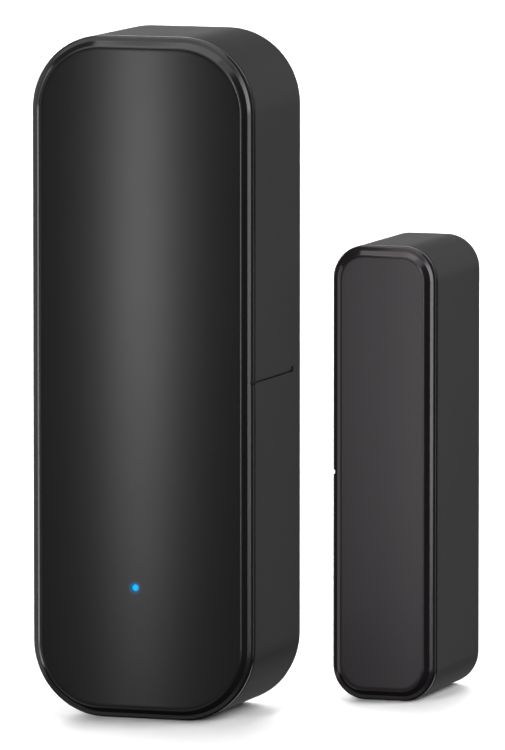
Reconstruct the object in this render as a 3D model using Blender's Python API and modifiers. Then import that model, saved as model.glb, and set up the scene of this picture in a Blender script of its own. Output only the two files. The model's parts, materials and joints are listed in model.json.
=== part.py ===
"""Door contact sensor: a battery-powered reed-switch unit and the magnet unit that it watches.

The origin is the middle of the sensor's adhesive pad, on the face that goes against the
door frame. +Y points into that frame, +Z is up and -Y is the front that faces the room.
The magnet unit stands beside the sensor on the +X side, on the same surface and further
back, as it does while the door is open.
"""

import math
from collections import namedtuple

import bmesh
import bpy
from mathutils import Vector

MM = 0.001

# Outside sizes of the two units. Each unit's outline lies in XZ and its depth runs along -Y.
Unit = namedtuple("Unit", "name x y z width height radius")

SENSOR_WIDTH = 24.2 * MM
SENSOR_HEIGHT = 71.0 * MM
SENSOR_CORNER = 7.8 * MM
MAGNET_WIDTH = 11.3 * MM
MAGNET_HEIGHT = 48.0 * MM
MAGNET_CORNER = 3.6 * MM
MAGNET_X = 19.4 * MM
MAGNET_Y = 20.9 * MM
FLOOR_Z = -SENSOR_HEIGHT / 2
MAGNET_Z = FLOOR_Z + MAGNET_HEIGHT / 2

SENSOR = Unit("sensor", 0.0, 0.0, 0.0, SENSOR_WIDTH, SENSOR_HEIGHT, SENSOR_CORNER)
MAGNET = Unit("magnet", MAGNET_X, MAGNET_Y, MAGNET_Z, MAGNET_WIDTH, MAGNET_HEIGHT, MAGNET_CORNER)

# Depth layers that both units share, from the wall face forwards.
GAP = 0.3 * MM
PAD_FRONT = -0.5 * MM
CASE_BACK = -0.4 * MM
PAD_SEAT = PAD_FRONT - GAP
COVER_INNER = -1.8 * MM
SHELF_BACK = -12.8 * MM
SHELF_FRONT = -13.5 * MM
CASE_FRONT = -14.7 * MM
LID_EDGE = CASE_FRONT - GAP
LID_INNER = -15.1 * MM
PAST_BACK = 1.0 * MM
PAST_FRONT = -18.0 * MM

# Walls, and the rim of the front covers: (inset, rise) from one outline to the next.
WALL = 1.2 * MM
BACK_ROUND = 0.2 * MM
RIM_BAND = 0.5 * MM
RIM_STEPS = [
    (0.09 * MM, 0.17 * MM),
    (0.21 * MM, 0.09 * MM),
    (0.24 * MM, 0.0),
    (0.51 * MM, 0.55 * MM),
]
CROWN_RADIUS = 189.0 * MM
CROWN_STRIPS = 8
SKIRT_BACK = -13.8 * MM
SKIRT_THICKNESS = 0.8 * MM
CORNER_STEPS = 8
LEVEL_TOLERANCE = 1e-7

# Sliding rear cover of the sensor.
TONGUE_REACH = 0.6 * MM
TONGUE_BACK = -1.1 * MM
TONGUE_TOP = 27.5 * MM
SLOT_DEPTH = COVER_INNER - GAP
GRIP_COUNT = 3
GRIP_PITCH = 1.6 * MM
GRIP_WIDTH = 9.0 * MM
GRIP_SIZE = 0.5 * MM
GRIP_BOTTOM = -33.6 * MM

# Adhesive pads: width, height, corner radius.
SENSOR_PAD = (16.0 * MM, 50.0 * MM, 2.0 * MM)
MAGNET_PAD = (6.4 * MM, 36.0 * MM, 2.0 * MM)

# Two AAA cells, side by side and turned opposite ways.
CELL_RADIUS = 5.2 * MM
CELL_LENGTH = 43.7 * MM
CELL_EDGE = 0.5 * MM
NUB_RADIUS = 1.9 * MM
NUB_LENGTH = 0.8 * MM
CELL_X = 5.4 * MM
CELL_Y = -7.3 * MM
LEFT_CELL_BOTTOM = -13.8 * MM
RIGHT_CELL_BOTTOM = -15.8 * MM

# Battery contacts and the wall below the battery bay.
DIVIDER_TOP = -17.7 * MM
DIVIDER_BOTTOM = -18.5 * MM
LOWER_PLATE_TOP = -16.9 * MM
PLATE_THICKNESS = 0.3 * MM
BRIDGE_BOTTOM = 31.0 * MM
BRIDGE_WIDTH = 18.8 * MM
LOWER_PLATE_WIDTH = 8.0 * MM
PLATE_BACK = -3.5 * MM
PLATE_FRONT = -11.8 * MM
TAB_WIDTH = 2.0 * MM
SPRING_WIRE = 0.25 * MM
SPRING_WIDE = 3.0 * MM
SPRING_NARROW = 2.0 * MM
SPRING_TURNS = 3
SPRING_POINTS = 14

# Circuit board with its parts; those on its back stand in the bay below the batteries.
BOARD_INSET = 2.6 * MM
BOARD_BACK = -13.8 * MM
BOARD_FRONT = -14.6 * MM
SCREW_HEIGHTS = {"upper": 24.0 * MM, "lower": -10.0 * MM}
SCREW_SHANK = 0.7 * MM
SCREW_HOLE = SCREW_SHANK + GAP
SCREW_HEAD = 1.4 * MM
SCREW_HEAD_FRONT = -15.4 * MM
SCREW_TIP = -11.8 * MM
BOSS_RADIUS = 1.7 * MM
BOSS_BACK = -11.4 * MM
LED_X = -0.5 * MM
LED_Z = -21.7 * MM
LED_SIZE = (1.6 * MM, 0.8 * MM)
LED_FRONT = -15.3 * MM
LIGHT_PIPE_RADIUS = 0.4 * MM
LIGHT_PIPE_FRONT = -16.5 * MM
POCKET_FRONT = -15.75 * MM
MODULE_X = (-8.6 * MM, 2.4 * MM)
MODULE_Z = (-32.0 * MM, -19.0 * MM)
MODULE_BACK = -12.7 * MM
CAN_X = (-7.9 * MM, 1.7 * MM)
CAN_Z = (-28.2 * MM, -19.7 * MM)
CAN_BACK = -10.6 * MM
CAPACITOR_X = 5.8 * MM
CAPACITOR_Z = -21.2 * MM
CAPACITOR_RADIUS = 2.0 * MM
CAPACITOR_BACK = -8.1 * MM

# Reset switch on the board and its long button, pressed once the rear cover is off.
BUTTON_X = 5.8 * MM
BUTTON_Z = -27.0 * MM
BUTTON_RADIUS = 1.7 * MM
BUTTON_FRONT = -9.2 * MM
BUTTON_BACK = -5.0 * MM
BUTTON_CAP_RADIUS = 2.2 * MM
BUTTON_CAP = 1.4 * MM
SWITCH_SIZE = 5.2 * MM
SWITCH_BACK = -9.9 * MM

# Reed switch: a glass tube with two flat blades that overlap in the middle.
REED_X = 9.2 * MM
REED_Y = -12.6 * MM
GLASS_RADIUS = 0.9 * MM
GLASS_BORE = 0.7 * MM
GLASS_LENGTH = 11.0 * MM
BLADE_WIDTH = 0.6 * MM
BLADE_THICKNESS = 0.2 * MM
BLADE_OFFSET = 0.25 * MM
BLADE_OVERLAP = 0.8 * MM
BLADE_END = 7.6 * MM
BLADE_FOOT = SHELF_FRONT
REED_HINGE_Z = -5.0 * MM
REED_WINDOW = 9.6 * MM

# Alignment mark on the facing sides: a fine line along the depth with a notch at each end.
MARK_WIDTH = 0.2 * MM
MARK_DEPTH = 0.2 * MM
MARK_BACK = -2.7 * MM
SLIT_SIZE = 0.55 * MM
NOTCH_RADIUS = 0.28 * MM

# What the magnet unit holds.
BAR_HALF = (3.0 * MM, 10.0 * MM)
BAR_BACK = -8.5 * MM
BAR_EDGE = 0.3 * MM
CRADLE_BACK = -9.5 * MM
CRADLE_END = 0.9 * MM
FOAM_HALF = (2.7 * MM, 9.5 * MM)
FOAM_BACK = -5.2 * MM
RIB_HALF = (2.2 * MM, 8.0 * MM)
RIB_THICKNESS = 1.0 * MM

SCREW_STEPS = 20
BLACK_PLASTIC = (0.012, 0.012, 0.013)
FRONT_PLASTIC = (0.018, 0.018, 0.020)


# ---------------------------------------------------------------- scene and finishes

def clear_scene():
    """Remove every object that is in the scene."""
    for item in list(bpy.data.objects):
        bpy.data.objects.remove(item, do_unlink=True)


def new_collection(name):
    """Make a collection and show it in the scene."""
    collection = bpy.data.collections.new(name)
    bpy.context.scene.collection.children.link(collection)
    return collection


def paint(piece, colour, roughness, metallic=0.0, alpha=1.0):
    """Give a piece its own Principled BSDF material."""
    finish = bpy.data.materials.new(piece.name)
    finish.use_nodes = True
    shader = finish.node_tree.nodes["Principled BSDF"]
    shader.inputs["Base Color"].default_value = (*colour, 1.0)
    shader.inputs["Roughness"].default_value = roughness
    shader.inputs["Metallic"].default_value = metallic
    shader.inputs["Alpha"].default_value = alpha
    finish.diffuse_color = (*colour, alpha)
    piece.data.materials.clear()
    piece.data.materials.append(finish)


def body_empty(name, location):
    """Make the empty that a rigid body's pieces hang from."""
    empty = bpy.data.objects.new(name, None)
    empty.empty_display_size = 5 * MM
    empty.location = location
    PARTS.objects.link(empty)
    return empty


def attach(empty, *pieces):
    """Parent pieces to an empty and keep them where they are."""
    for piece in pieces:
        piece.parent = empty
        piece.location = piece.location - empty.location


# ---------------------------------------------------------------- shapes

def object_from(name, data, location):
    """Put mesh or curve data in the parts collection at a place."""
    piece = bpy.data.objects.new(name, data)
    piece.location = location
    PARTS.objects.link(piece)
    return piece


def object_from_bmesh(name, bm, location):
    """Turn an edited bmesh into an object, shaded smooth with sharp edges."""
    mesh = bpy.data.meshes.new(name)
    bm.to_mesh(mesh)
    bm.free()
    mesh.shade_smooth()
    mesh.set_sharp_from_angle(angle=math.radians(35))
    return object_from(name, mesh, location)


def cube_bmesh(size):
    """A bmesh cuboid of a given size, centred on its origin."""
    bm = bmesh.new()
    bmesh.ops.create_cube(bm, size=1.0)
    bmesh.ops.scale(bm, vec=size, verts=bm.verts)
    return bm


def box(name, x, y, z):
    """A plain box from three (low, high) ranges."""
    size = Vector((x[1] - x[0], y[1] - y[0], z[1] - z[0]))
    centre = Vector((x[0] + x[1], y[0] + y[1], z[0] + z[1])) / 2
    return object_from_bmesh(name, cube_bmesh(size), centre)


def round_upright_edges(bm, radius, corners):
    """Round the edges along Y: all of them, or only those at the top or the bottom."""
    chosen = []
    for edge in bm.edges:
        first, second = edge.verts
        along_y = abs(first.co.y - second.co.y) > radius * 0.01
        high = first.co.z > 0
        if along_y and corners in ("all", "top" if high else "bottom"):
            chosen.append(edge)
    bmesh.ops.bevel(
        bm, geom=chosen, offset=radius, offset_type="OFFSET",
        segments=CORNER_STEPS, profile=0.5, affect="EDGES",
    )


def rounded_box(name, x, y, z, radius, corners="all"):
    """A box whose edges along Y are rounded."""
    size = Vector((x[1] - x[0], y[1] - y[0], z[1] - z[0]))
    centre = Vector((x[0] + x[1], y[0] + y[1], z[0] + z[1])) / 2
    bm = cube_bmesh(size)
    round_upright_edges(bm, radius, corners)
    return object_from_bmesh(name, bm, centre)


def end_face(bm, side):
    """The one face that looks along +Y (side 1) or -Y (side -1)."""
    bm.normal_update()
    return max(bm.faces, key=lambda face: face.normal.y * side * face.calc_area())


def step_face(bm, side, steps):
    """Build steps on an end face, each an inset and a rise from the last outline."""
    face = end_face(bm, side)
    for inset, rise in steps:
        bmesh.ops.inset_individual(
            bm, faces=[face], thickness=inset, depth=rise, use_even_offset=True,
        )
    return face


def is_level(point, level):
    """Whether a point lies at a depth."""
    return abs(point.y - level) < LEVEL_TOLERANCE


def crown_face(bm, face, half_width):
    """Curve a flat front face across its width, highest on the centreline."""
    level = face.calc_center_median().y
    for strip in range(1, CROWN_STRIPS):
        cut_x = half_width * (2 * strip / CROWN_STRIPS - 1)
        faces = [f for f in bm.faces if f.normal.y < -0.5 and is_level(f.calc_center_median(), level)]
        edges = {edge for f in faces for edge in f.edges}
        verts = {vert for f in faces for vert in f.verts}
        bmesh.ops.bisect_plane(
            bm, geom=[*faces, *edges, *verts], dist=LEVEL_TOLERANCE,
            plane_co=(cut_x, 0, 0), plane_no=(1, 0, 0),
        )
    for vert in bm.verts:
        if is_level(vert.co, level):
            vert.co.y -= (half_width ** 2 - vert.co.x ** 2) / (2 * CROWN_RADIUS)


def outline_box(unit, name, inset, back, front):
    """A rounded box inside a unit's outline, between two of its depth layers."""
    half_width = unit.width / 2 - inset
    half_height = unit.height / 2 - inset
    return rounded_box(
        name,
        (unit.x - half_width, unit.x + half_width),
        (unit.y + front, unit.y + back),
        (unit.z - half_height, unit.z + half_height),
        unit.radius - inset,
    )


def rod(name, radius, start, length, axis, steps=SCREW_STEPS):
    """A cylinder from a start point along +X, +Y or +Z."""
    bm = bmesh.new()
    bmesh.ops.create_cone(
        bm, cap_ends=True, segments=steps, radius1=radius, radius2=radius, depth=length,
    )
    piece = object_from_bmesh(name, bm, Vector(start) + Vector(axis) * length / 2)
    piece.rotation_euler = Vector((0, 0, 1)).rotation_difference(Vector(axis)).to_euler()
    return piece


def turned(name, profile, location, tilt=0.0):
    """A turned solid: (radius, height) points from the top of its outer side to the bottom."""
    mesh = bpy.data.meshes.new(name)
    points = [(radius, 0.0, height) for radius, height in profile]
    mesh.from_pydata(points, [(i, i + 1) for i in range(len(points) - 1)], [])
    piece = object_from(name, mesh, location)
    piece.rotation_euler = (tilt, 0.0, 0.0)
    screw = piece.modifiers.new("turn", "SCREW")
    screw.steps = SCREW_STEPS
    screw.render_steps = SCREW_STEPS
    screw.use_merge_vertices = True
    screw.merge_threshold = 0.01 * MM
    return piece


def wire(name, points, radius):
    """A round wire through a list of points."""
    curve = bpy.data.curves.new(name, "CURVE")
    curve.dimensions = "3D"
    curve.bevel_depth = radius
    curve.bevel_resolution = 2
    curve.use_fill_caps = True
    spline = curve.splines.new("POLY")
    spline.points.add(len(points) - 1)
    for slot, point in zip(spline.points, points):
        slot.co = (*point, 1.0)
    return object_from(name, curve, (0, 0, 0))


def flat_strip(name, outline, width, location):
    """A flat sheet piece: an outline in its own (Y, Z) plane, as wide as given along X."""
    curve = bpy.data.curves.new(name, "CURVE")
    curve.dimensions = "2D"
    curve.fill_mode = "BOTH"
    curve.extrude = width / 2
    spline = curve.splines.new("POLY")
    spline.points.add(len(outline) - 1)
    for slot, (y, z) in zip(spline.points, outline):
        slot.co = (y, z, 0.0, 1.0)
    spline.use_cyclic_u = True
    piece = object_from(name, curve, location)
    piece.rotation_euler = (math.radians(90), 0.0, math.radians(90))
    return piece


def use_tool(target, tool, operation):
    """Cut a target with a tool object, or join the tool to it."""
    modifier = target.modifiers.new(tool.name, "BOOLEAN")
    modifier.operation = operation
    modifier.solver = "EXACT"
    modifier.object = tool
    PARTS.objects.unlink(tool)
    CUTTERS.objects.link(tool)
    tool.hide_render = True
    tool.display_type = "WIRE"


def cut(target, *tools):
    """Take tools away from a target."""
    for tool in tools:
        use_tool(target, tool, "DIFFERENCE")


def join(target, *tools):
    """Add tools to a target."""
    for tool in tools:
        use_tool(target, tool, "UNION")


def soften(piece, width, segments=2):
    """Round a piece's sharp edges a little."""
    bevel = piece.modifiers.new("soften", "BEVEL")
    bevel.width = width
    bevel.segments = segments
    bevel.limit_method = "ANGLE"
    bevel.angle_limit = math.radians(40)


# ---------------------------------------------------------------- shared by both units

def case_block(unit, name):
    """The solid outside of a case, with its back edge rounded off."""
    body = CASE_BACK - BACK_ROUND - CASE_FRONT
    bm = cube_bmesh(Vector((unit.width, body, unit.height)))
    round_upright_edges(bm, unit.radius, "all")
    step_face(bm, 1, [(BACK_ROUND, BACK_ROUND)])
    middle = unit.y + CASE_FRONT + body / 2
    return object_from_bmesh(name, bm, (unit.x, middle, unit.z))


def cover_blank(unit, name):
    """A front cover without its holes: rim, raised crowned panel and the skirt behind it."""
    bm = cube_bmesh(Vector((unit.width, RIM_BAND, unit.height)))
    round_upright_edges(bm, unit.radius, "all")
    panel = step_face(bm, -1, RIM_STEPS)
    bm.normal_update()
    crown_face(bm, panel, unit.width / 2 - sum(inset for inset, rise in RIM_STEPS))
    middle = unit.y + LID_EDGE - RIM_BAND / 2
    cover = object_from_bmesh(name, bm, (unit.x, middle, unit.z))
    skirt_inset = WALL + GAP
    room_inset = skirt_inset + SKIRT_THICKNESS
    join(cover, outline_box(unit, name + "_skirt", skirt_inset, SKIRT_BACK, LID_INNER - 0.2 * MM))
    cut(cover, outline_box(unit, name + "_room", room_inset, SKIRT_BACK + MM, LID_INNER))
    return cover


def alignment_mark(unit, case, cover, side):
    """Cut the line, its end slit and the cover's notch in the side that faces the other unit."""
    face = unit.x + side * unit.width / 2
    x_range = sorted((face - side * MARK_DEPTH, face + side * MM))
    y_line = (unit.y + CASE_FRONT - MM, unit.y + MARK_BACK)
    y_slit = (unit.y + MARK_BACK - SLIT_SIZE, unit.y + MARK_BACK + 0.02 * MM)
    line = box(unit.name + "_mark_line", x_range, y_line, (-MARK_WIDTH / 2, MARK_WIDTH / 2))
    slit = box(unit.name + "_mark_slit", x_range, y_slit, (-MARK_WIDTH, SLIT_SIZE))
    line.location.z += unit.z
    slit.location.z += unit.z
    cut(case, line, slit)
    start = (face, unit.y + LID_EDGE - RIM_BAND - MM, unit.z)
    cut(cover, rod(unit.name + "_mark_notch", NOTCH_RADIUS, start, 2 * MM, (0, 1, 0), 12))


def adhesive_pad(unit, name, pad):
    """The foam tape on a unit's back."""
    width, height, radius = pad
    piece = rounded_box(
        name,
        (unit.x - width / 2, unit.x + width / 2),
        (unit.y + PAD_FRONT, unit.y),
        (unit.z - height / 2, unit.z + height / 2),
        radius,
    )
    paint(piece, (0.60, 0.60, 0.58), 0.9)
    return piece


def cut_pad_seat(unit, cover, pad):
    """Sink the pad's seat in a rear cover."""
    width, height, radius = pad
    seat = rounded_box(
        cover.name + "_seat",
        (unit.x - width / 2 - GAP, unit.x + width / 2 + GAP),
        (unit.y + PAD_SEAT, unit.y + PAST_BACK),
        (unit.z - height / 2 - GAP, unit.z + height / 2 + GAP),
        radius + GAP,
    )
    cut(cover, seat)


# ---------------------------------------------------------------- sensor case and covers

def inner_half_width():
    """Half the width inside the sensor's side walls."""
    return SENSOR.width / 2 - WALL


def inner_half_height():
    """Half the height inside the sensor's end walls."""
    return SENSOR.height / 2 - WALL


def main_case_rooms(case):
    """Hollow the case: board room in front, battery bay and electronics bay behind."""
    half = inner_half_width()
    top = inner_half_height()
    radius = SENSOR.radius - WALL
    cut(
        case,
        outline_box(SENSOR, "board_room", WALL, SHELF_FRONT, PAST_FRONT),
        rounded_box(
            "battery_bay", (-half, half), (SHELF_BACK, PAST_BACK), (DIVIDER_TOP, top), radius, "top",
        ),
        rounded_box(
            "electronics_bay", (-half, half), (PAST_FRONT, PAST_BACK), (-top, DIVIDER_BOTTOM),
            radius, "bottom",
        ),
        box(
            "divider_relief", (-half, half), (SLOT_DEPTH, PAST_BACK),
            (DIVIDER_BOTTOM - MM, DIVIDER_TOP + MM),
        ),
    )


def main_case_cover_slot(case):
    """Open the bottom wall for the rear cover and groove the side walls for its tongues."""
    half = inner_half_width()
    below = FLOOR_Z - 5 * MM
    slot_top = -inner_half_height() + 6 * MM
    cut(case, box("cover_slot", (-half, half), (SLOT_DEPTH, PAST_BACK), (below, slot_top)))
    for side in (-1, 1):
        x_range = sorted((side * (half - GAP), side * (half + TONGUE_REACH)))
        y_range = (COVER_INNER - GAP, TONGUE_BACK + GAP)
        cut(case, box(f"tongue_groove_{side:+d}", x_range, y_range, (below, TONGUE_TOP + GAP)))


def main_case_fittings(case):
    """Screw bosses and the windows in the shelf."""
    foot = SHELF_FRONT + 0.2 * MM
    for place, z in SCREW_HEIGHTS.items():
        join(case, rod(f"boss_{place}", BOSS_RADIUS, (0, foot, z), BOSS_BACK - foot, (0, 1, 0)))
    for place, z in SCREW_HEIGHTS.items():
        cut(case, rod(f"boss_hole_{place}", SCREW_HOLE, (0, CASE_FRONT, z), 5 * MM, (0, 1, 0)))
    shelf = (SHELF_FRONT - MM, SHELF_BACK + 0.5 * MM)
    reed_x = (REED_X - GLASS_RADIUS - 2 * GAP, REED_X + GLASS_RADIUS + GAP)
    cut(case, box("reed_window", reed_x, shelf, (-REED_WINDOW, REED_WINDOW)))
    tab_z = (LOWER_PLATE_TOP - PLATE_THICKNESS - GAP, LOWER_PLATE_TOP + GAP)
    for side in (-1, 1):
        tab_x = (side * CELL_X - TAB_WIDTH / 2 - GAP, side * CELL_X + TAB_WIDTH / 2 + GAP)
        cut(case, box(f"tab_window_{side:+d}", tab_x, shelf, tab_z))


def main_case():
    """The deep tub that everything else in the sensor is held by."""
    case = case_block(SENSOR, "main_case")
    main_case_rooms(case)
    main_case_cover_slot(case)
    main_case_fittings(case)
    paint(case, BLACK_PLASTIC, 0.45)
    return case


def front_cover():
    """The sensor's front cover, with its openings for the light pipe and room for the screws."""
    cover = cover_blank(SENSOR, "front_cover")
    pocket_x = (LED_X - LED_SIZE[0] / 2 - 2 * GAP, LED_X + LED_SIZE[0] / 2 + 2 * GAP)
    pocket_z = (LED_Z - LED_SIZE[1] / 2 - 2 * GAP, LED_Z + LED_SIZE[1] / 2 + 2 * GAP)
    cut(cover, box("led_pocket", pocket_x, (POCKET_FRONT, LID_INNER + MM), pocket_z))
    hole_start = (LED_X, PAST_FRONT, LED_Z)
    cut(cover, rod("led_hole", LIGHT_PIPE_RADIUS + GAP, hole_start, 3 * MM, (0, 1, 0)))
    for place, z in SCREW_HEIGHTS.items():
        start = (0, POCKET_FRONT, z)
        cut(cover, rod(f"head_pocket_{place}", SCREW_HEAD + 2 * GAP, start, MM, (0, 1, 0)))
    paint(cover, FRONT_PLASTIC, 0.5)
    return cover


def rear_cover():
    """The sliding plate that closes the battery bay and carries the adhesive pad."""
    half = inner_half_width() - GAP
    top = inner_half_height() - GAP
    below = FLOOR_Z - 5 * MM
    cover = rounded_box(
        "rear_cover", (-half, half), (COVER_INNER, CASE_BACK), (below, top),
        SENSOR.radius - WALL - GAP, "top",
    )
    for side in (-1, 1):
        x_range = sorted((side * (half - MM), side * (half + TONGUE_REACH)))
        y_range = (COVER_INNER + 0.05 * MM, TONGUE_BACK)
        join(cover, box(f"tongue_{side:+d}", x_range, y_range, (below + MM, TONGUE_TOP)))
    use_tool(cover, outline_box(SENSOR, "cover_outline", 0.0, PAST_BACK, COVER_INNER - MM), "INTERSECT")
    cut_pad_seat(SENSOR, cover, SENSOR_PAD)
    for index in range(GRIP_COUNT):
        z = GRIP_BOTTOM + index * GRIP_PITCH
        x_range = (-GRIP_WIDTH / 2, GRIP_WIDTH / 2)
        y_range = (CASE_BACK - GRIP_SIZE, PAST_BACK)
        cut(cover, box(f"grip_{index}", x_range, y_range, (z, z + GRIP_SIZE)))
    paint(cover, BLACK_PLASTIC, 0.5)
    return cover


# ---------------------------------------------------------------- batteries and contacts

def battery(name, side, bottom, nub_up):
    """A AAA cell: can and nub, turned on the cell's axis."""
    radius = CELL_RADIUS
    can_top = CELL_LENGTH
    profile = [
        (0.0, can_top + NUB_LENGTH),
        (NUB_RADIUS - 0.2 * MM, can_top + NUB_LENGTH),
        (NUB_RADIUS, can_top + NUB_LENGTH - 0.2 * MM),
        (NUB_RADIUS, can_top),
        (radius - CELL_EDGE, can_top),
        (radius, can_top - CELL_EDGE),
        (radius, CELL_EDGE),
        (radius - CELL_EDGE, 0.0),
        (0.0, 0.0),
    ]
    base = bottom if nub_up else bottom + CELL_LENGTH
    piece = turned(name, profile, (side * CELL_X, CELL_Y, base), 0.0 if nub_up else math.pi)
    paint(piece, (0.05, 0.05, 0.06), 0.35, 0.3)
    return piece


def contact_spring(name, side, wide_end, narrow_end):
    """A conical coil between a contact plate and a cell."""
    total = SPRING_TURNS * SPRING_POINTS
    points = []
    for index in range(total + 1):
        share = index / total
        angle = 2 * math.pi * SPRING_TURNS * share
        radius = SPRING_WIDE + (SPRING_NARROW - SPRING_WIDE) * share
        height = wide_end + (narrow_end - wide_end) * share
        x = side * CELL_X + radius * math.cos(angle)
        y = CELL_Y + radius * math.sin(angle)
        points.append((x, y, height))
    piece = wire(name, points, SPRING_WIRE)
    paint(piece, (0.62, 0.60, 0.56), 0.3, 1.0)
    return piece


def lower_contact(name, side):
    """A plate below one cell, with the tab that reaches the circuit board."""
    x = side * CELL_X
    z_range = (LOWER_PLATE_TOP - PLATE_THICKNESS, LOWER_PLATE_TOP)
    half = LOWER_PLATE_WIDTH / 2
    plate = box(name, (x - half, x + half), (PLATE_FRONT, PLATE_BACK), z_range)
    tab = box(
        name + "_tab", (x - TAB_WIDTH / 2, x + TAB_WIDTH / 2), (SHELF_FRONT, PLATE_FRONT + MM), z_range,
    )
    join(plate, tab)
    paint(plate, (0.62, 0.60, 0.56), 0.3, 1.0)
    return plate


def bridge_contact():
    """The plate that joins the two cells at the top of the bay."""
    z_range = (BRIDGE_BOTTOM, BRIDGE_BOTTOM + PLATE_THICKNESS)
    half = BRIDGE_WIDTH / 2
    plate = box("bridge_contact", (-half, half), (PLATE_FRONT, PLATE_BACK), z_range)
    paint(plate, (0.62, 0.60, 0.56), 0.3, 1.0)
    return plate


def batteries_and_contacts():
    """Both cells, two springs and three plates."""
    clear = GAP + SPRING_WIRE
    left_end = LEFT_CELL_BOTTOM - clear
    right_end = RIGHT_CELL_BOTTOM + CELL_LENGTH + clear
    return [
        battery("battery_left", -1, LEFT_CELL_BOTTOM, True),
        battery("battery_right", 1, RIGHT_CELL_BOTTOM, False),
        contact_spring("negative_spring", -1, LOWER_PLATE_TOP + clear, left_end),
        contact_spring("bridge_spring", 1, BRIDGE_BOTTOM - clear, right_end),
        lower_contact("negative_contact", -1),
        lower_contact("positive_contact", 1),
        bridge_contact(),
    ]


# ---------------------------------------------------------------- circuit board and its parts

def circuit_board():
    """The board behind the front cover, with its two screw holes."""
    board = outline_box(SENSOR, "circuit_board", BOARD_INSET, BOARD_BACK, BOARD_FRONT)
    for place, z in SCREW_HEIGHTS.items():
        cut(board, rod(f"board_hole_{place}", SCREW_HOLE, (0, BOARD_FRONT - MM, z), 3 * MM, (0, 1, 0)))
    paint(board, (0.02, 0.16, 0.06), 0.4)
    return board


def wifi_module():
    """The radio module: its small board and the shield can on it."""
    board = box("wifi_module_board", MODULE_X, (BOARD_BACK + GAP, MODULE_BACK), MODULE_Z)
    paint(board, (0.01, 0.03, 0.10), 0.4)
    can = box("wifi_shield_can", CAN_X, (MODULE_BACK + GAP, CAN_BACK), CAN_Z)
    soften(can, 0.3 * MM)
    paint(can, (0.65, 0.65, 0.63), 0.3, 1.0)
    return [board, can]


def reset_switch():
    """The tact switch on the board, a square body."""
    half = SWITCH_SIZE / 2
    body = box(
        "reset_switch_body",
        (BUTTON_X - half, BUTTON_X + half),
        (BOARD_BACK + GAP, SWITCH_BACK),
        (BUTTON_Z - half, BUTTON_Z + half),
    )
    soften(body, 0.2 * MM, 1)
    paint(body, (0.03, 0.03, 0.03), 0.5)
    return body


def reset_button():
    """The switch's long button, with a wider cap for a fingertip or a pen."""
    length = BUTTON_BACK - BUTTON_FRONT
    profile = [
        (0.0, length),
        (BUTTON_CAP_RADIUS - 0.3 * MM, length),
        (BUTTON_CAP_RADIUS, length - 0.3 * MM),
        (BUTTON_CAP_RADIUS, length - BUTTON_CAP),
        (BUTTON_RADIUS, length - BUTTON_CAP),
        (BUTTON_RADIUS, 0.0),
        (0.0, 0.0),
    ]
    piece = turned("reset_button", profile, (BUTTON_X, BUTTON_FRONT, BUTTON_Z), math.radians(-90))
    paint(piece, (0.55, 0.55, 0.53), 0.5)
    return piece


def bulk_capacitor():
    """The can that feeds the radio's current peaks, standing on the board."""
    base = BOARD_BACK + GAP
    length = CAPACITOR_BACK - base
    profile = [
        (0.0, length),
        (CAPACITOR_RADIUS - 0.3 * MM, length),
        (CAPACITOR_RADIUS, length - 0.3 * MM),
        (CAPACITOR_RADIUS, 0.0),
        (0.0, 0.0),
    ]
    piece = turned("bulk_capacitor", profile, (CAPACITOR_X, base, CAPACITOR_Z), math.radians(-90))
    paint(piece, (0.70, 0.70, 0.70), 0.35, 1.0)
    return piece


def status_light():
    """The lamp on the board's front and the clear pin that brings its light out."""
    led = box(
        "status_led",
        (LED_X - LED_SIZE[0] / 2, LED_X + LED_SIZE[0] / 2),
        (LED_FRONT, BOARD_FRONT - GAP),
        (LED_Z - LED_SIZE[1] / 2, LED_Z + LED_SIZE[1] / 2),
    )
    paint(led, (0.10, 0.45, 0.90), 0.3)
    start = LED_FRONT - GAP
    length = start - LIGHT_PIPE_FRONT
    profile = [
        (0.0, length),
        (LIGHT_PIPE_RADIUS * 0.6, length - 0.04 * MM),
        (LIGHT_PIPE_RADIUS, length - 0.12 * MM),
        (LIGHT_PIPE_RADIUS, 0.0),
        (0.0, 0.0),
    ]
    pipe = turned("light_pipe", profile, (LED_X, start, LED_Z), math.radians(90))
    paint(pipe, (0.02, 0.45, 0.90), 0.2)
    return [led, pipe]


def board_screw(place):
    """A small pan-head screw that holds the board to a boss."""
    length = SCREW_TIP - SCREW_HEAD_FRONT
    under_head = BOARD_FRONT - GAP - SCREW_HEAD_FRONT
    profile = [
        (0.0, length),
        (SCREW_HEAD * 0.7, length),
        (SCREW_HEAD, length - under_head * 0.5),
        (SCREW_HEAD, length - under_head),
        (SCREW_SHANK, length - under_head),
        (SCREW_SHANK, 0.5 * MM),
        (0.0, 0.0),
    ]
    location = (0, SCREW_TIP, SCREW_HEIGHTS[place])
    piece = turned(f"board_screw_{place}", profile, location, math.radians(90))
    paint(piece, (0.35, 0.35, 0.36), 0.35, 1.0)
    return piece


def reed_glass():
    """The reed switch's glass tube, open at both ends for the blades."""
    half = GLASS_LENGTH / 2
    profile = [
        (GLASS_BORE, half),
        (GLASS_RADIUS, half),
        (GLASS_RADIUS, -half),
        (GLASS_BORE, -half),
        (GLASS_BORE, half),
    ]
    glass = turned("reed_switch_glass", profile, (REED_X, REED_Y, 0))
    paint(glass, (0.55, 0.75, 0.65), 0.05, 0.0, 0.4)
    return glass


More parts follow.
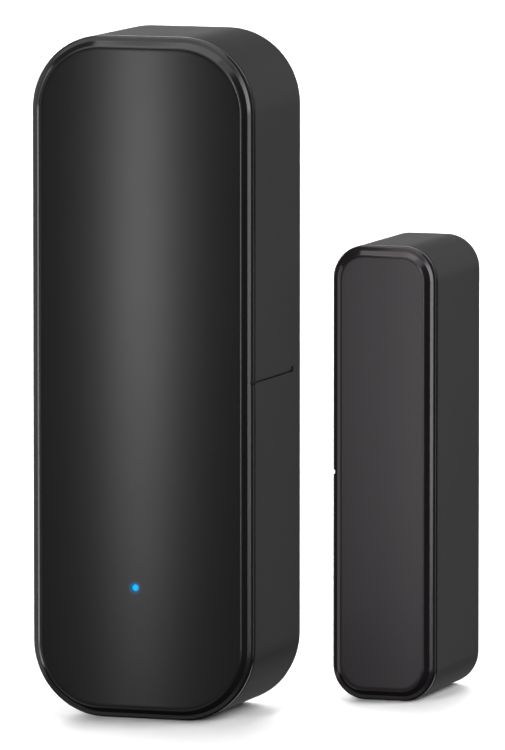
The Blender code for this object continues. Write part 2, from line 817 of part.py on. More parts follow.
def reed_blade(name, side):
    """One spring-iron blade, from its contact tip out of the glass and down to the board."""
    centre = REED_Y - side * BLADE_OFFSET
    back = centre + BLADE_THICKNESS / 2
    front = centre - BLADE_THICKNESS / 2
    tip = -side * BLADE_OVERLAP
    bend = side * (BLADE_END - BLADE_THICKNESS)
    end = side * BLADE_END
    outline = [
        (front, tip),
        (back, tip),
        (back, end),
        (BLADE_FOOT, end),
        (BLADE_FOOT, bend),
        (front, bend),
    ]
    blade = flat_strip(name, outline, BLADE_WIDTH, (REED_X, 0, 0))
    paint(blade, (0.60, 0.58, 0.52), 0.3, 1.0)
    return blade


# ---------------------------------------------------------------- magnet unit

def magnet_box(name, half_x, y, half_z):
    """A box about the magnet unit's middle, between two depths."""
    x_range = (MAGNET_X - half_x, MAGNET_X + half_x)
    return box(name, x_range, y, (MAGNET_Z - half_z, MAGNET_Z + half_z))


def magnet_case():
    """The magnet unit's tub, with a shelf and the cradle that holds the bar magnet."""
    case = case_block(MAGNET, "magnet_case")
    cut(
        case,
        outline_box(MAGNET, "magnet_front_room", WALL, SHELF_FRONT, PAST_FRONT),
        outline_box(MAGNET, "magnet_back_room", WALL, PAST_BACK, SHELF_BACK),
    )
    bar_x, bar_z = (half + GAP for half in BAR_HALF)
    wall_x = MAGNET_WIDTH / 2 - WALL / 2
    y_cradle = (MAGNET_Y + SHELF_BACK - 0.3 * MM, MAGNET_Y + CRADLE_BACK)
    end_z = bar_z + CRADLE_END
    join(case, magnet_box("cradle", wall_x, y_cradle, end_z))
    y_seat = (MAGNET_Y + SHELF_BACK, MAGNET_Y + CRADLE_BACK + MM)
    cut(case, magnet_box("cradle_seat", bar_x, y_seat, bar_z))
    paint(case, BLACK_PLASTIC, 0.45)
    return case


def magnet_front_cover():
    """The magnet unit's front cover, the same rim and panel as the sensor's."""
    cover = cover_blank(MAGNET, "magnet_front_cover")
    paint(cover, FRONT_PLASTIC, 0.5)
    return cover


def magnet_rear_cover():
    """The snapped-in back plate, with a hollow rib that holds the foam on the magnet."""
    cover = outline_box(MAGNET, "magnet_rear_cover", WALL + GAP, CASE_BACK, COVER_INNER)
    rib_x, rib_z = RIB_HALF
    y_rib = (MAGNET_Y + FOAM_BACK + GAP, MAGNET_Y + COVER_INNER + 0.3 * MM)
    y_hollow = (MAGNET_Y + FOAM_BACK - MM, MAGNET_Y + COVER_INNER)
    join(cover, magnet_box("rib", rib_x, y_rib, rib_z))
    cut(cover, magnet_box("rib_room", rib_x - RIB_THICKNESS, y_hollow, rib_z - RIB_THICKNESS))
    cut_pad_seat(MAGNET, cover, MAGNET_PAD)
    paint(cover, BLACK_PLASTIC, 0.5)
    return cover


def bar_magnet():
    """The plated magnet that holds the reed blades closed."""
    half_x, half_z = BAR_HALF
    bar = magnet_box("bar_magnet", half_x, (MAGNET_Y + SHELF_BACK + GAP, MAGNET_Y + BAR_BACK), half_z)
    soften(bar, BAR_EDGE, 1)
    paint(bar, (0.55, 0.55, 0.56), 0.25, 1.0)
    return bar


def magnet_foam():
    """The foam block that keeps the magnet from rattling."""
    half_x, half_z = FOAM_HALF
    foam = magnet_box("magnet_foam", half_x, (MAGNET_Y + BAR_BACK + GAP, MAGNET_Y + FOAM_BACK), half_z)
    soften(foam, 0.4 * MM, 1)
    paint(foam, (0.05, 0.05, 0.05), 0.95)
    return foam


# ---------------------------------------------------------------- assembly

def build_sensor():
    """The fixed pieces of the sensor and the empties of its moving pieces."""
    body = body_empty("sensor_body", (0, 0, 0))
    case = main_case()
    cover = front_cover()
    alignment_mark(SENSOR, case, cover, 1)
    attach(body, case, cover, circuit_board(), reset_switch(), bulk_capacitor(), reed_glass())
    attach(body, reed_blade("reed_blade_upper", 1))
    attach(body, *batteries_and_contacts(), *wifi_module(), *status_light())
    attach(body, *(board_screw(place) for place in SCREW_HEIGHTS))
    sliding = body_empty("rear_cover_body", (0, COVER_INNER, 0))
    attach(sliding, rear_cover(), adhesive_pad(SENSOR, "sensor_adhesive_pad", SENSOR_PAD))
    attach(body_empty("reset_button_body", (BUTTON_X, BUTTON_FRONT, BUTTON_Z)), reset_button())
    hinge = (REED_X, REED_Y + BLADE_OFFSET, REED_HINGE_Z)
    attach(body_empty("reed_blade_body", hinge), reed_blade("reed_blade_lower", -1))


def build_magnet_unit():
    """The magnet unit, which moves as one body with the door."""
    body = body_empty("magnet_body", (MAGNET_X, MAGNET_Y, MAGNET_Z))
    case = magnet_case()
    cover = magnet_front_cover()
    alignment_mark(MAGNET, case, cover, -1)
    attach(body, case, cover, magnet_rear_cover(), bar_magnet(), magnet_foam())
    attach(body, adhesive_pad(MAGNET, "magnet_adhesive_pad", MAGNET_PAD))


clear_scene()
PARTS = new_collection("door_contact_sensor")
CUTTERS = new_collection("cutters")
build_sensor()
build_magnet_unit()
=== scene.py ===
"""The looks of the door contact sensor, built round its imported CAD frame.

Both units have the same construction, so their cases and front covers share functions. Every
piece is built in place, in the frame's own metres, with its object at the origin.
"""

import json
import math
from collections import namedtuple

import bmesh
import bpy
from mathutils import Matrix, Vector

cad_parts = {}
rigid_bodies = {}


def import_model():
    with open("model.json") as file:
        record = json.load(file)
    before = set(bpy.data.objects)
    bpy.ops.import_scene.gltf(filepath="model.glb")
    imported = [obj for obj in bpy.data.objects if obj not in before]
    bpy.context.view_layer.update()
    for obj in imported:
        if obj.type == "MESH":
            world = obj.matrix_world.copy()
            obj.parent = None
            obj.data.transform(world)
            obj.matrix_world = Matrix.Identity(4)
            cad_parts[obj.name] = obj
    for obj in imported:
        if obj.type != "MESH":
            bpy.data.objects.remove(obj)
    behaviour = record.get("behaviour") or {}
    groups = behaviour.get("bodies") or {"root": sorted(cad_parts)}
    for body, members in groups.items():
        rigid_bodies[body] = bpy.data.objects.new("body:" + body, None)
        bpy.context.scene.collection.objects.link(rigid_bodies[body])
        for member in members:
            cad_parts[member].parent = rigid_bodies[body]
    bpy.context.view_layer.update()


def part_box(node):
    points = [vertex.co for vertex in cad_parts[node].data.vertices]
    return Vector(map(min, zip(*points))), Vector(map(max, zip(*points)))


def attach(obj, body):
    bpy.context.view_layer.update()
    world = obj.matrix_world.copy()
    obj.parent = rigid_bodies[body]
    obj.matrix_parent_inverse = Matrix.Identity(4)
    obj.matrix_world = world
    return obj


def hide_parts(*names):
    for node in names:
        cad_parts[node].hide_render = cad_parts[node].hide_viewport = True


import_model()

MM = 0.001

# Depth layers behind and in front of each unit's wall face, as the CAD has them.
GAP = 0.3 * MM
CASE_BACK = -0.4 * MM
PAD_SEAT = -0.8 * MM
COVER_INNER = -1.8 * MM
SHELF_BACK = -12.8 * MM
SHELF_FRONT = -13.5 * MM
CASE_FRONT = -14.7 * MM
LID_EDGE = -15.0 * MM
LID_INNER = -15.1 * MM
SKIRT_BACK = -13.8 * MM
PAST_BACK = 1.0 * MM
PAST_FRONT = -18.0 * MM
# How far a tool runs past what it cuts, how far a joined piece runs into its neighbour, and the
# length of a rod that cuts right through a plate.
OVER = 1.0 * MM
ROOTED = 0.3 * MM
HOLE_LENGTH = 3 * MM

# Walls and corners, and the number of steps that curves are drawn in.
WALL = 1.2 * MM
SKIRT_THICKNESS = 0.8 * MM
SENSOR_CORNER = 7.8 * MM
MAGNET_CORNER = 3.6 * MM
CORNER_STEPS = 18
END_STEPS = 20
ARC_STEPS = 5
LATHE_STEPS = 48
CELL_STEPS = 64
HOLE_STEPS = 20

# Edges sharper than these angles are softened, or shaded as edges.
SOFTEN_ANGLE = math.radians(35)
SHARP_ANGLE = math.radians(32)
NORMAL_WEIGHT = 80

# Rim of the front covers: (inset, forward of the lid's edge, rounding) along its profile.
RIM_PROFILE = [
    (1.05 * MM, 1.31 * MM, 0.40 * MM),
    (0.54 * MM, 0.79 * MM, 0.06 * MM),
    (0.16 * MM, 0.70 * MM, 0.20 * MM),
    (0.00 * MM, 0.48 * MM, 0.12 * MM),
    (0.00 * MM, 0.00 * MM, 0.06 * MM),
]
BEVEL_FOOT = 0.79 * MM
PANEL_RISE = 1.31 * MM
PANEL_INSET = 1.05 * MM
CROWN_RADIUS = 189.0 * MM

Unit = namedtuple("Unit", "x y z half_width half_height corner")
Outline = namedtuple("Outline", "x0 x1 z0 z1 top bottom")


def unit_from(node, corner):
    """A unit's wall-face middle and half sizes, from its case in the CAD."""
    low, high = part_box(node)
    middle = (low + high) / 2
    size = (high - low) / 2
    return Unit(middle.x, high.y - CASE_BACK, middle.z, size.x, size.z, corner)


SENSOR = unit_from("main_case", SENSOR_CORNER)
MAGNET = unit_from("magnet_case", MAGNET_CORNER)
FLOOR_Z = SENSOR.z - SENSOR.half_height

SCENE = bpy.context.scene
PIECES = bpy.data.collections.new("pieces")
SCENE.collection.children.link(PIECES)


# ---- Mesh helpers

def piece_from(name, bm, home=PIECES):
    """Turn a bmesh into an object at the origin, with its faces looking out."""
    bmesh.ops.remove_doubles(bm, verts=bm.verts, dist=0.0005 * MM)
    bmesh.ops.recalc_face_normals(bm, faces=bm.faces)
    mesh = bpy.data.meshes.new(name)
    bm.to_mesh(mesh)
    bm.free()
    piece = bpy.data.objects.new(name, mesh)
    home.objects.link(piece)
    return piece


def baked_mesh(item):
    """What an object's mesh or curve looks like with its modifiers applied."""
    graph = bpy.context.evaluated_depsgraph_get()
    return bpy.data.meshes.new_from_object(item.evaluated_get(graph))


def bake(piece):
    """Apply a piece's modifiers to its mesh."""
    mesh = baked_mesh(piece)
    piece.modifiers.clear()
    piece.data = mesh


def combine(piece, tools, operation="DIFFERENCE"):
    """Cut tools from a piece, join them to it, or keep what is common."""
    for tool in tools:
        modifier = piece.modifiers.new(tool.name, "BOOLEAN")
        modifier.operation = operation
        modifier.solver = "EXACT"
        modifier.object = tool
    bake(piece)
    for tool in tools:
        bpy.data.objects.remove(tool)


def merge(name, parts):
    """Gather separate shells in one piece."""
    bm = bmesh.new()
    for part in parts:
        bm.from_mesh(part.data)
        bpy.data.objects.remove(part)
    return piece_from(name, bm)


def soften(piece, width):
    """Round a piece's sharp edges."""
    bevel = piece.modifiers.new("soften", "BEVEL")
    bevel.width = width
    bevel.segments = 2
    bevel.limit_method = "ANGLE"
    bevel.angle_limit = SOFTEN_ANGLE
    bake(piece)


def rounded_path(corners):
    """Points along an open path of (a, b, radius) corners, with each inner corner rounded."""
    path = [Vector(corners[0][:2])]
    for before, corner, after in zip(corners, corners[1:], corners[2:]):
        here = Vector(corner[:2])
        radius = corner[2]
        if radius == 0.0:
            path.append(here)
            continue
        back = (Vector(before[:2]) - here).normalized()
        ahead = (Vector(after[:2]) - here).normalized()
        half = back.angle(ahead) / 2
        centre = here + (back + ahead).normalized() * radius / math.sin(half)
        start = here + back * radius / math.tan(half) - centre
        end = here + ahead * radius / math.tan(half) - centre
        for step in range(ARC_STEPS + 1):
            share = step / ARC_STEPS
            path.append(centre + start.normalized().slerp(end.normalized(), share) * radius)
    path.append(Vector(corners[-1][:2]))
    return path


def end_points(x0, x1, edge, corner, sign):
    """(x, z) points along one end of a rounded rectangle, from left to right."""
    left = []
    for step in range(CORNER_STEPS + 1):
        angle = math.pi / 2 * step / CORNER_STEPS
        x = x0 + corner * (1 - math.cos(angle))
        left.append((x, edge - sign * corner * (1 - math.sin(angle))))
    run = x1 - x0 - 2 * corner
    middle = [(x0 + corner + run * step / END_STEPS, edge) for step in range(1, END_STEPS)]
    right = [(x0 + x1 - x, z) for x, z in reversed(left)]
    return left + middle + right


def ring(shape, inset, y):
    """Points round an outline: its top from left to right, then its bottom back."""
    x0 = shape.x0 + inset
    x1 = shape.x1 - inset
    top = end_points(x0, x1, shape.z1 - inset, max(shape.top - inset, 0.0), 1)
    bottom = end_points(x0, x1, shape.z0 + inset, max(shape.bottom - inset, 0.0), -1)
    return [Vector((x, y, z)) for x, z in top + bottom[::-1]]


def skin(name, rings):
    """A closed solid over rings whose points match; its ends are capped by upright strips."""
    bm = bmesh.new()
    loops = [[bm.verts.new(point) for point in points] for points in rings]
    count = len(loops[0])
    for first, second in zip(loops, loops[1:]):
        for i in range(count):
            j = (i + 1) % count
            bm.faces.new((first[i], first[j], second[j], second[i]))
    for loop in (loops[0], loops[-1]):
        for i in range(count // 2 - 1):
            bm.faces.new((loop[i], loop[i + 1], loop[count - 2 - i], loop[count - 1 - i]))
    return piece_from(name, bm)


def outline(x, z, corner, inset=0.0):
    """A rounded rectangle from its X and Z ranges, drawn in from its sides."""
    return Outline(x[0] + inset, x[1] - inset, z[0] + inset, z[1] - inset, corner, corner)


def about(middle, half):
    """A (low, high) range about a middle."""
    return middle - half, middle + half


def grown(span, reach):
    """A (low, high) range, longer by a reach at both its ends."""
    return span[0] - reach, span[1] + reach


def around(middle, half_x, half_z):
    """X and Z ranges about a middle."""
    return about(middle.x, half_x), about(middle.z, half_z)


def unit_outline(unit, inset=0.0):
    """The outline of a unit, drawn in from its sides."""
    x, z = around(unit, unit.half_width - inset, unit.half_height - inset)
    return outline(x, z, unit.corner - inset)


def plate(name, shape, y, edge=0.0):
    """A flat solid with an outline in XZ, between two depths, its two rims rounded."""
    inner = (shape.x1 - shape.x0) * 0.3
    path = rounded_path([
        (inner, y[0], 0.0), (0.0, y[0], edge), (0.0, y[1], edge), (inner, y[1], 0.0),
    ])
    return skin(name, [ring(shape, inset, depth) for inset, depth in path[1:-1]])


def block(name, x, y, z, edge=0.0, segments=2, upright_only=False):
    """A box from three (low, high) ranges, with all its edges or its upright ones rounded."""
    bm = bmesh.new()
    bmesh.ops.create_cube(bm, size=1.0)
    size = Vector((x[1] - x[0], y[1] - y[0], z[1] - z[0]))
    middle = Vector((x[0] + x[1], y[0] + y[1], z[0] + z[1])) / 2
    bmesh.ops.scale(bm, vec=size, verts=bm.verts)
    bmesh.ops.translate(bm, vec=middle, verts=bm.verts)
    edges = list(bm.edges)
    if upright_only:
        edges = [e for e in edges if abs(e.verts[0].co.z - e.verts[1].co.z) > size.z / 2]
    if edge:
        bmesh.ops.bevel(
            bm, geom=edges, offset=edge, segments=segments, profile=0.5, affect="EDGES",
        )
    return piece_from(name, bm)


def lathe(name, profile, origin, axis, steps=LATHE_STEPS):
    """A turned solid of (radius, height) points; without an end on the axis it is a tube."""
    bm = bmesh.new()
    turn = Vector((0, 0, 1)).rotation_difference(Vector(axis)).to_matrix()
    rings = []
    for radius, height in profile:
        count = steps if radius > 0.0 else 1
        angles = [2 * math.pi * step / count for step in range(count)]
        points = [Vector((radius * math.cos(a), radius * math.sin(a), height)) for a in angles]
        rings.append([bm.verts.new(Vector(origin) + turn @ point) for point in points])
    pairs = list(zip(rings, rings[1:]))
    if profile[0][0] > 0.0:
        pairs.append((rings[-1], rings[0]))
    for first, second in pairs:
        for i in range(steps):
            j = (i + 1) % steps
            corners = (
                first[i % len(first)], first[j % len(first)],
                second[j % len(second)], second[i % len(second)],
            )
            bm.faces.new(list(dict.fromkeys(corners)))
    return piece_from(name, bm)


def rod(name, radius, start, length, axis=(0, 1, 0), steps=LATHE_STEPS):
    """A cylinder, used to cut or join."""
    profile = [(0.0, length), (radius, length), (radius, 0.0), (0.0, 0.0)]
    return lathe(name, profile, start, axis, steps)


def cross(name, middle, y, long, short):
    """Two crossed bars, used to cut."""
    ranges = (around(middle, long, short), around(middle, short, long))
    return [block(name, x, y, z) for x, z in ranges]


def tube(name, points, radius):
    """A round wire through a list of points."""
    curve = bpy.data.curves.new(name, "CURVE")
    curve.dimensions = "3D"
    curve.bevel_depth = radius
    curve.bevel_resolution = 4
    curve.use_fill_caps = True
    spline = curve.splines.new("POLY")
    spline.points.add(len(points) - 1)
    for slot, point in zip(spline.points, points):
        slot.co = (*point, 1.0)
    line = bpy.data.objects.new(name + "_line", curve)
    PIECES.objects.link(line)
    bm = bmesh.new()
    bm.from_mesh(baked_mesh(line))
    bpy.data.objects.remove(line)
    return piece_from(name, bm)


def middle_of(node):
    """The middle of a CAD node's box."""
    low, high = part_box(node)
    return (low + high) / 2


def ranges_of(node):
    """The three (low, high) ranges of a CAD node's box."""
    return tuple(zip(*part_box(node)))


def turned_in(node, axis):
    """Where an axis through the middle of a CAD node's box starts, its radius and its length."""
    low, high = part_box(node)
    k = next(k for k in range(3) if axis[k])
    start = (low + high) / 2
    start[k] = low[k] if axis[k] > 0 else high[k]
    return start, (high.x - low.x) / 2, high[k] - low[k]


def place(piece, nodes, finishes, body="sensor", choose=None):
    """Shade a piece, give it its finishes and let it stand for its CAD nodes on their body."""
    piece.data.shade_smooth()
    piece.data.set_sharp_from_angle(angle=SHARP_ANGLE)
    weighted = piece.modifiers.new("weighted_normals", "WEIGHTED_NORMAL")
    weighted.keep_sharp = True
    weighted.weight = NORMAL_WEIGHT
    piece.data.materials.clear()
    for finish in finishes:
        piece.data.materials.append(finish.material)
    if choose:
        for face in piece.data.polygons:
            face.material_index = choose(face)
    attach(piece, body)
    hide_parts(*nodes)


# ---- Finishes

class Nodes:
    """A node tree under construction; an input is a value or another node's output."""

    def __init__(self, tree):
        self.tree = tree

    def node(self, kind, inputs=(), **settings):
        """Add a node with its settings and inputs."""
        made = self.tree.nodes.new("ShaderNode" + kind)
        for key, value in settings.items():
            setattr(made, key, value)
        for socket, value in dict(inputs).items():
            if isinstance(value, bpy.types.NodeSocket):
                self.tree.links.new(value, made.inputs[socket])
            else:
                made.inputs[socket].default_value = value
        return made

    def maths(self, operation, first, second):
        """One step of arithmetic."""
        return self.node("Math", {0: first, 1: second}, operation=operation).outputs["Value"]

    def spread(self, factor, low, high, start=0.25, end=0.75, ease="SMOOTHSTEP"):
        """Map a factor's range to numbers, as a rule easing in and out at its ends."""
        inputs = {"Value": factor, "From Min": start, "From Max": end, "To Min": low, "To Max": high}
        return self.node("MapRange", inputs, interpolation_type=ease).outputs["Result"]


class Finish(Nodes):
    """A material in object space, which here is the CAD frame."""

    def __init__(self, name, **sockets):
        self.material = bpy.data.materials.new(name)
        self.material.use_nodes = True
        super().__init__(self.material.node_tree)
        self.shader = self.tree.nodes["Principled BSDF"]
        self.place = self.node("TexCoord").outputs["Object"]
        for socket, value in sockets.items():
            self.shader.inputs[socket.replace("_", " ")].default_value = value

    def noise(self, size, detail=2.0, stretch=(1, 1, 1)):
        """Cloudy noise with features of a size in metres, squeezed along each axis."""
        where = self.node("Mapping", {"Vector": self.place, "Scale": stretch}).outputs["Vector"]
        inputs = {"Vector": where, "Scale": 1 / size, "Detail": detail}
        return self.node("TexNoise", inputs).outputs["Fac"]

    def mixed(self, factor, first, second):
        """A colour between two, each a colour or another node's output."""
        inputs = {0: factor}
        for socket, value in ((6, first), (7, second)):
            inputs[socket] = (*value, 1.0) if isinstance(value, tuple) else value
        return self.node("Mix", inputs, data_type="RGBA").outputs[2]

    def drive(self, socket, output):
        """Link an output to one of the shader's sockets."""
        self.tree.links.new(output, self.shader.inputs[socket])

    def coloured(self, factor, first, second):
        """Mix the shader's colour."""
        self.drive("Base Color", self.mixed(factor, first, second))

    def rough(self, factor, low, high):
        """Spread the shader's roughness."""
        self.drive("Roughness", self.spread(factor, low, high))

    def bumps(self, *layers):
        """Stack (height, strength, distance) layers on the shader's normal."""
        normal = None
        for height, strength, distance in layers:
            inputs = {"Height": height, "Strength": strength, "Distance": distance}
            if normal:
                inputs["Normal"] = normal
            normal = self.node("Bump", inputs).outputs["Normal"]
        self.drive("Normal", normal)


PLASTIC_GRAIN = 0.16 * MM
METAL_GRAIN = 0.12 * MM
TRACK_SCALE = 1.6 * MM


def moulded_plastic(name, dark, light, gloss, tint=(1.0, 1.0, 1.0)):
    """Spark-eroded plastic: faint flow clouds, an even grain and a little wear in the gloss."""
    finish = Finish(name, Specular_Tint=(*tint, 1.0))
    clouds = finish.spread(finish.noise(11 * MM, 3.0), 0.0, 1.0)
    finish.coloured(clouds, dark, light)
    finish.rough(finish.noise(3.5 * MM, 5.0), *gloss)
    finish.bumps((finish.noise(PLASTIC_GRAIN, 3.0), 0.10, 0.003 * MM))
    return finish


def plated_metal(name, dark, light, gloss, stretch=(1, 1, 1)):
    """Plated or drawn metal: fine lines along one direction and cloudy tarnish."""
    finish = Finish(name, Metallic=1.0)
    tarnish = finish.spread(finish.noise(2.2 * MM, 4.0), 0.0, 1.0)
    finish.coloured(tarnish, dark, light)
    lines = finish.noise(METAL_GRAIN, 3.0, stretch)
    finish.rough(lines, *gloss)
    finish.bumps((lines, 0.25, 0.004 * MM))
    return finish


def foam(name, dark, light, cell):
    """Closed-cell foam: open pits at its skin, painted darker towards their middles as shade, and a
    dusty sheen.
    """
    finish = Finish(name, Roughness=0.9, Sheen_Weight=0.25, Sheen_Roughness=0.6)
    where = finish.node("Mapping", {"Vector": finish.place}).outputs["Vector"]
    pits = finish.node("TexVoronoi", {"Vector": where, "Scale": 1 / cell}).outputs["Distance"]
    mottle = finish.noise(cell * 6, 4.0)
    # Painted shade: the colour darkens towards each pit's middle, where the pit is deepest.
    pit_shade_tone = finish.mixed(finish.spread(pits, 0.0, 1.0, 0.1, 0.6), dark, light)
    finish.coloured(finish.spread(mottle, 0.0, 0.35), pit_shade_tone, dark)
    finish.bumps((pits, 0.7, cell * 0.3), (mottle, 0.3, cell * 0.5))
    return finish


def solder_mask(name, mask, copper):
    """Solder mask with faint copper tracks under it."""
    finish = Finish(name, Specular_IOR_Level=0.6, Coat_Weight=0.3, Coat_Roughness=0.15)
    facing = finish.node("Mapping", {"Vector": finish.place, "Rotation": (math.pi / 2, 0, 0)})
    inputs = {
        "Vector": facing.outputs["Vector"], "Scale": 1 / TRACK_SCALE, "Mortar Size": 0.05,
        "Mortar Smooth": 0.2, "Brick Width": 1.7, "Row Height": 0.45,
    }
    bricks = finish.node("TexBrick", inputs, offset=0.37, squash=0.6, squash_frequency=3)
    breaks = finish.spread(finish.noise(2.4 * MM, 1.0), 0.0, 1.0, 0.45, 0.55)
    shown = finish.maths("MULTIPLY", bricks.outputs["Fac"], breaks)
    finish.coloured(shown, mask, copper)
    finish.rough(finish.noise(0.8 * MM, 3.0), 0.28, 0.40)
    finish.bumps((shown, 0.5, 0.02 * MM), (finish.noise(0.2 * MM), 0.1, 0.01 * MM))
    return finish


SLEEVE_BASE = (0.030, 0.034, 0.042)
SLEEVE_FLECK = tuple(c * 1.25 for c in SLEEVE_BASE)
SLEEVE_BAND = (0.46, 0.47, 0.48)
BAND_LENGTH = 9.0 * MM
BAND_BLUR = 0.05 * MM


def battery_sleeve(node, start, up):
    """Printed shrink sleeve: a plain body with a band at its positive end, and fine ripples."""
    finish = Finish(
        node + "_sleeve", Metallic=0.35, Specular_IOR_Level=0.5, Coat_Weight=0.5,
        Coat_Roughness=0.12,
    )
    height = finish.node("SeparateXYZ", {"Vector": finish.place}).outputs["Z"]
    edge = start - up * BAND_LENGTH
    blur = up * BAND_BLUR
    share = finish.spread(height, 0.0, 1.0, edge - blur, edge + blur, "LINEAR")
    flecks = finish.spread(finish.noise(0.3 * MM), 0.0, 0.6)
    body = finish.mixed(flecks, SLEEVE_BASE, SLEEVE_FLECK)
    finish.coloured(share, body, SLEEVE_BAND)
    finish.rough(finish.noise(2.0 * MM, 3.0), 0.24, 0.36)
    finish.bumps((finish.noise(1.4 * MM, 2.0, (1, 1, 0.2)), 0.12, 0.03 * MM))
    return finish


def clear_glass(name, tint):
    """Drawn glass with a little waviness."""
    finish = Finish(name, Transmission_Weight=1.0, IOR=1.5, Base_Color=(*tint, 1.0))
    waves = finish.noise(0.6 * MM, 2.0, (1, 1, 0.25))
    finish.rough(waves, 0.02, 0.07)
    finish.bumps((waves, 0.2, 0.01 * MM))
    return finish


LAMP_START, LAMP_RADIUS, LAMP_LENGTH = turned_in("light_pipe", (0, -1, 0))
LAMP_FACE = Vector((LAMP_START.x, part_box("light_pipe")[0].y, LAMP_START.z))
GLOW_BLUE = (0.005, 0.42, 0.95, 1.0)
GLOW_FALL = 2.2
# How far the painted glow on the front cover reaches from the lamp, and how strong it is.
PAINTED_GLOW_REACH = 1.15 * MM
PAINTED_GLOW_STRENGTH = 0.35
CORE_REACH = 0.95 * MM
CORE_STRENGTH = 0.95
PANEL_GLOSS = (0.170, 0.176)


def glow(finish, reach, strength):
    """Blue light of a strength at the lamp's face, which fades smoothly to 0 at a reach."""
    finish.shader.inputs["Emission Color"].default_value = GLOW_BLUE
    away = finish.node("VectorMath", {0: finish.place, 1: LAMP_FACE}, operation="DISTANCE")
    near = finish.spread(away.outputs["Value"], 1.0, 0.0, 0.0, reach, "SMOOTHERSTEP")
    return finish.maths("MULTIPLY", finish.maths("POWER", near, GLOW_FALL), strength)


def panel_plastic():
    """The front cover's plastic, with a painted blue glow round the sensor's lamp: emission on the
    cover stands in for the lamp's light falling on it.
    """
    dark, light = (0.0143, 0.0141, 0.0147), (0.0150, 0.0148, 0.0154)
    finish = moulded_plastic("panel_plastic", dark, light, PANEL_GLOSS)
    # Painted glow: the cover plastic emits blue near the lamp's face, though it is no lamp.
    finish.drive("Emission Strength", glow(finish, PAINTED_GLOW_REACH, PAINTED_GLOW_STRENGTH))
    return finish


def lamp_finish():
    """The light pipe: clear blue-lit acrylic, brightest in its middle."""
    finish = Finish("lamp_finish", Base_Color=(0.01, 0.30, 0.60, 1.0), Roughness=0.15, Coat_Weight=0.6)
    grain = finish.noise(0.1 * MM)
    core = glow(finish, CORE_REACH, CORE_STRENGTH)
    level = finish.maths("MULTIPLY", core, finish.spread(grain, 0.95, 1.05))
    finish.drive("Emission Strength", level)
    finish.bumps((grain, 0.05, 0.01 * MM))
    return finish


CASE_PLASTIC = moulded_plastic(
    "case_plastic", (0.0190, 0.0188, 0.0194), (0.0212, 0.0210, 0.0216), (0.45, 0.46),
)
PANEL_PLASTIC = panel_plastic()
MAGNET_PLASTIC = moulded_plastic(
    "magnet_plastic", (0.0162, 0.0140, 0.0158), (0.0178, 0.0154, 0.0174), PANEL_GLOSS,
    tint=(1.0, 0.955, 0.985),
)
LAMP = lamp_finish()
PAD_FOAM = foam("pad_foam", (0.42, 0.42, 0.40), (0.66, 0.66, 0.63), 0.09 * MM)
BLACK_FOAM = foam("black_foam", (0.008, 0.008, 0.008), (0.035, 0.034, 0.033), 0.25 * MM)
GREEN_MASK = solder_mask("green_mask", (0.006, 0.085, 0.028), (0.025, 0.19, 0.07))
MODULE_MASK = solder_mask("module_mask", (0.006, 0.012, 0.030), (0.03, 0.045, 0.09))
GOLD = plated_metal("gold_pads", (0.70, 0.45, 0.16), (0.86, 0.62, 0.28), (0.18, 0.32))
TIN = plated_metal("tin_plate", (0.50, 0.50, 0.49), (0.68, 0.67, 0.65), (0.20, 0.38), (1, 1, 6))
NICKEL = plated_metal(
    "nickel_plate", (0.52, 0.50, 0.47), (0.68, 0.66, 0.62), (0.16, 0.30), (6, 1, 1),
)
SPRING_STEEL = plated_metal("spring_steel", (0.48, 0.47, 0.45), (0.66, 0.65, 0.62), (0.18, 0.30))
SCREW_STEEL = plated_metal("screw_steel", (0.20, 0.20, 0.21), (0.36, 0.36, 0.37), (0.24, 0.40))
ALUMINIUM = plated_metal(
    "aluminium_can", (0.72, 0.72, 0.73), (0.84, 0.84, 0.84), (0.22, 0.34), (1, 8, 1),
)
SWITCH_PLASTIC = moulded_plastic(
    "switch_plastic", (0.016, 0.016, 0.016), (0.024, 0.024, 0.024), (0.38, 0.52),
)
BUTTON_PLASTIC = moulded_plastic(
    "button_plastic", (0.40, 0.40, 0.38), (0.50, 0.50, 0.47), (0.36, 0.46),
)
END_RING = moulded_plastic("insulating_ring", (0.50, 0.50, 0.47), (0.62, 0.61, 0.58), (0.5, 0.6))
CAN_SLEEVE = moulded_plastic(
    "capacitor_sleeve", (0.010, 0.012, 0.022), (0.016, 0.018, 0.032), (0.22, 0.32),
)
REED_GLASS = clear_glass("reed_glass", (0.62, 0.84, 0.72))
LED_RESIN = moulded_plastic("led_resin", (0.62, 0.64, 0.60), (0.74, 0.76, 0.70), (0.2, 0.3))


# ---- Shells that both units share

def crown_at(unit, x):
    """How far the panel's crown stands forward at a place across its width."""
    half_width = unit.half_width - PANEL_INSET
    return max(0.0, half_width ** 2 - (x - unit.x) ** 2) / (2 * CROWN_RADIUS)


def cover_rings(unit):
    """The front cover's rings: crowned panel, rim, lid edge and the hollow skirt behind it."""
    skirt = WALL + GAP
    room = skirt + SKIRT_THICKNESS
    panel_edge = PANEL_INSET + 0.5 * MM
    edge = 0.08 * MM
    path = rounded_path([
        (panel_edge, PANEL_RISE, 0.0),
        *RIM_PROFILE,
        (skirt, 0.0, 0.05 * MM),
        (skirt, LID_EDGE - SKIRT_BACK, edge),
        (room, LID_EDGE - SKIRT_BACK, edge),
        (room, LID_EDGE - LID_INNER, edge),
        (room + 0.5 * MM, LID_EDGE - LID_INNER, 0.0),
    ])
    rings = []
    for inset, rise in path:
        lift = min(1.0, max(0.0, (rise - BEVEL_FOOT) / (PANEL_RISE - BEVEL_FOOT)))
        points = ring(unit_outline(unit), inset, unit.y + LID_EDGE - rise)
        for point in points:
            point.y -= lift * crown_at(unit, point.x)
        rings.append(points)
    return rings


